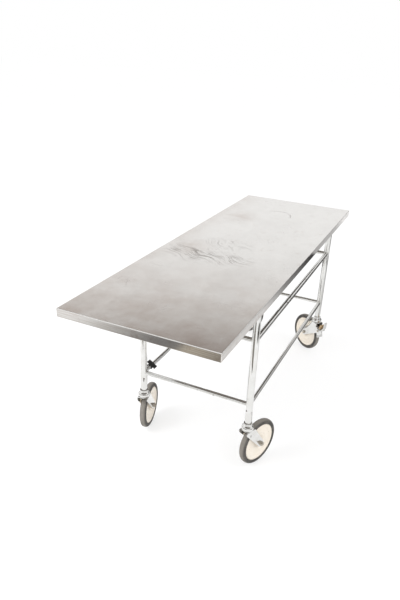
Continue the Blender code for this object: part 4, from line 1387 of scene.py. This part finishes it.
# %% [markdown]
# ## The rail clip
# A moulded clip snaps over the lower left rail and carries a small sloping plate. It is one moulding: a
# ring that is open below and a flat plate on top, with every edge rounded so that it leaves the mould.
# Two loose shapes would show a hard line where they meet, so they are joined first and rounded then.

# %% Rail clip
CLIP_WALL = 3.5 * MM
CLIP_OPENING = radians(70)
CLIP_TILT = radians(34)
PLATE_LENGTH = 47 * MM
PLATE_SHEET = 3 * MM
clip_low, clip_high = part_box("rail_clip")


def rail_clip(half_length):
    inside = rail_radius + SEAT_GAP
    start, end = CLIP_OPENING / 2 - pi / 2, 3 * pi / 2 - CLIP_OPENING / 2
    outline = arc((0, 0), inside + CLIP_WALL, start, end) + arc((0, 0), inside, end, start)
    low, high = inside + SEAT_GAP, inside + SEAT_GAP + PLATE_SHEET
    half = PLATE_LENGTH / 2
    plate = prism([(-half, low), (half, low), (half, high), (-half, high)], half_length - 0.5 * MM)
    plate = applied(plate, edged(MM))
    plate.transform(Matrix.Rotation(CLIP_TILT, 4, "Y"))
    return applied(prism(outline, half_length), joined(plate), edged(0.4 * MM, 50))


clip_mesh = rail_clip((clip_high.y - clip_low.y) / 2)
clip_place = Matrix.Translation((rail_start.x, (clip_low.y + clip_high.y) / 2, rail_start.z))
piece("moulded_clip", moved(clip_mesh, clip_place), black_nylon, "frame", "black_moulding", "rail_clip")
print("clip:", len(clip_mesh.polygons), "faces")

# %% [markdown]
# ## The studio
# Polished metal shows its surroundings and little else, so the studio is drawn for its reflections. A
# photographed room would light it well, but could not be fitted to this tray. Here the lower walls are
# white; above them the room is a dim brown-grey, with a bright ceiling overhead. That gives the near end
# of the tray its darker tone and the folds their thin bright and dark lines. Rays from the camera see
# plain white, at strength 1, so the backdrop adds no light.

# %% World
RAMP, LIGHT_PATH = "ShaderNodeValToRGB", "ShaderNodeLightPath"
ROOM = ((25, "#ffffff"), (32, "#786d64"), (35, "#575049"), (41, "#575049"), (50, "#ffffff"))  # degrees up
WHITE = (1.0, 1.0, 1.0, 1.0)
SOFT_WHITE = (0.95, 0.95, 0.95, 1.0)


def studio_world():
    world = bpy.data.worlds.new("studio")
    bpy.context.scene.world = world
    world.use_nodes = True
    world.node_tree.nodes.clear()
    make = partial(add, world.node_tree)
    ray = make(LIGHT_PATH).node.outputs
    height = make(SEPARATE, (make(PLACE, out="Generated"),), "Z")
    room = make(RAMP, (height,), stops=[(sin(radians(angle)), linear(tone)) for angle, tone in ROOM])
    lit = make(MIX, {0: ray["Is Glossy Ray"], 6: SOFT_WHITE, 7: room}, 2, data_type="RGBA")
    seen = make(MIX, {0: ray["Is Camera Ray"], 6: lit, 7: WHITE}, 2, data_type="RGBA")
    sky = make("ShaderNodeBackground", {"Color": seen, "Strength": 1.0})
    make("ShaderNodeOutputWorld", {"Surface": sky})


studio_world()
print("world: white below, dim above, bright overhead")

# %% [markdown]
# The floor is part white paint, which takes the shadow, and part its own white for the eye and for
# mirrors. Paint alone would show as grey beside the backdrop, so the camera sees a darker paint that also
# glows.

# %% Floor
LIT_PAINT = (0.80, 0.80, 0.80, 1.0)
SEEN_PAINT = (0.36, 0.36, 0.36, 1.0)
SEEN_GLOW = 0.66


def flat_piece(name, corners, material):
    mesh = bpy.data.meshes.new(name)
    mesh.from_pydata(corners, [], [(0, 1, 2, 3)])
    mesh.materials.append(material)
    obj = bpy.data.objects.new(name, mesh)
    bpy.context.scene.collection.objects.link(obj)
    return obj


def lying(low, high, height):
    """The four corners of a flat rectangle."""
    return [(low[0], low[1], height), (high[0], low[1], height), (*high, height), (low[0], high[1], height)]


def floor_paint():
    material, make = new_material("white_floor_paint")
    ray = make(LIGHT_PATH).node.outputs
    seen = 0.0
    for kind in ("Is Camera Ray", "Is Glossy Ray", "Is Transmission Ray"):
        seen = make(MATH, (ray[kind], seen), operation="MAXIMUM")
    paint = make(MIX, {0: seen, 6: LIT_PAINT, 7: SEEN_PAINT}, 2, data_type="RGBA")
    glow = {"Emission Color": WHITE, "Emission Strength": make(MATH, (seen, SEEN_GLOW), operation="MULTIPLY")}
    matt = {"Roughness": 1.0, "Specular IOR Level": 0.0}
    make(OUTPUT, {"Surface": make(SHADER, {"Base Color": paint, **matt, **glow})})
    return material


floor = flat_piece("floor", lying((-30, -30), (30, 30), -0.5 * MM), floor_paint())
print("floor:", round(floor.dimensions.x), "m wide")

# %% [markdown]
# Toned cards lie flat on the floor out of sight, and one flag stands upright. The skirts mirror the two
# graded ones as bands that run from pale to dark, and the tubes mirror the others as dark edges. A card
# that only reflects would change with every lamp, so each glows in its own tones, and only mirrors see
# it.

# %% Cards
CARD_GLOW = 0.95
BLACK = (0.0, 0.0, 0.0, 1.0)


def card(name, low, high, axis, *stops, height=4 * MM, tall=0.0):
    """A lying or standing card in (metres, tone) stops along X or Y."""
    material, make = new_material(f"toned_{name}")
    start, end = low[axis == "Y"], high[axis == "Y"]
    along = make(RANGE, (make(SEPARATE, (make(PLACE, out="Object"),), axis), start, end))
    tones = [((metres - start) / (end - start), linear(tone)) for metres, tone in stops]
    glow = {"Emission Color": make(RAMP, (along,), stops=tones), "Emission Strength": CARD_GLOW}
    make(OUTPUT, {"Surface": make(SHADER, {"Base Color": BLACK, "Specular IOR Level": 0.0, **glow})})
    corners = lying(low, high, height)
    if tall:
        corners = [(*low, 0.0), (*high, 0.0), (*high, tall), (*low, tall)]
    obj = flat_piece(name, corners, material)
    obj.visible_camera = obj.visible_diffuse = obj.visible_shadow = False


card(
    "card_ahead", (-2.2, -5.0), (0.4, -1.15), "X",
    (-1.3, "#ffffff"), (-1.0, "#cbcac8"), (-0.70, "#8a8988"), (-0.48, "#757576"),
    (-0.46, "#c8c0b1"), (-0.1, "#88857f"), (0.4, "#746f6b"),
)
card(
    "card_beside", (0.45, 0.3), (2.3, 3.6), "Y",
    (0.3, "#eaeaea"), (1.1, "#e4e4e4"), (1.6, "#969696"), (2.4, "#28282a"),
    (2.46, "#c0c0c0"), (3.3, "#cacaca"), (3.6, "#f4f4f4"),
)
card("card_behind", (-1.7, 1.2), (0.68, 2.45), "Y", (1.2, "#3c3a37"), (2.45, "#3c3a37"), height=6 * MM)
card("card_far", (-1.7, 2.46), (-0.35, 4.2), "Y", (2.46, "#5a5753"), (4.2, "#5a5753"))
card("card_between", (-0.5, -0.06), (0.01, 0.2), "Y", (-0.06, "#4a4744"), (0.2, "#4a4744"))
card("card_right", (1.75, -1.6), (2.75, 0.29), "Y", (-1.6, "#55524e"), (0.29, "#55524e"))
card("card_left", (-2.4, -1.1), (-1.3, 1.1), "Y", (-1.1, "#55524e"), (1.1, "#55524e"))
card("flag", (0.95, 3.7), (3.2, 1.7), "X", (0.95, "#45423f"), (3.2, "#45423f"), tall=1.2)
print("stage: 7 lying cards and a flag")

# %% [markdown]
# Three soft lamps do the modelling: one from the front left and above, a fainter one from the right, and
# a small low one that reaches the wheels under the tray. One strong sun would draw hard shadows, so all
# three are wide discs. The camera stands where the photograph was taken from, a little above eye level
# and tilted down.

# %% Lamps and camera
def lamp(name, place, target, size, power):
    data = bpy.data.lights.new(name, "AREA")
    data.shape = "DISK"
    data.size = size
    data.energy = power
    obj = bpy.data.objects.new(name, data)
    obj.location = place
    obj.rotation_euler = (Vector(target) - Vector(place)).to_track_quat("-Z", "Y").to_euler()
    obj.visible_glossy = False
    bpy.context.scene.collection.objects.link(obj)


lamp("key", (-2.2, -2.6, 3.6), (0, 0, 0.5), 2.4, 90)
lamp("fill", (3.0, -0.5, 2.4), (0, 0, 0.4), 2.4, 22)
lamp("low", (-1.6, -2.4, 0.9), (0.2, 0.4, 0.2), 1.2, 17)

camera = bpy.data.objects.new("camera", bpy.data.cameras.new("camera"))
camera.location = (0.8357, -2.2251, 1.6949)
camera.rotation_euler = (radians(64.709), radians(-2.113), radians(25.751))
camera.data.lens = 32.67
camera.data.sensor_width = 36
bpy.context.scene.collection.objects.link(camera)
bpy.context.scene.camera = camera
bpy.context.scene.view_settings.view_transform = "Standard"
print("camera at", tuple(round(value, 2) for value in camera.location))
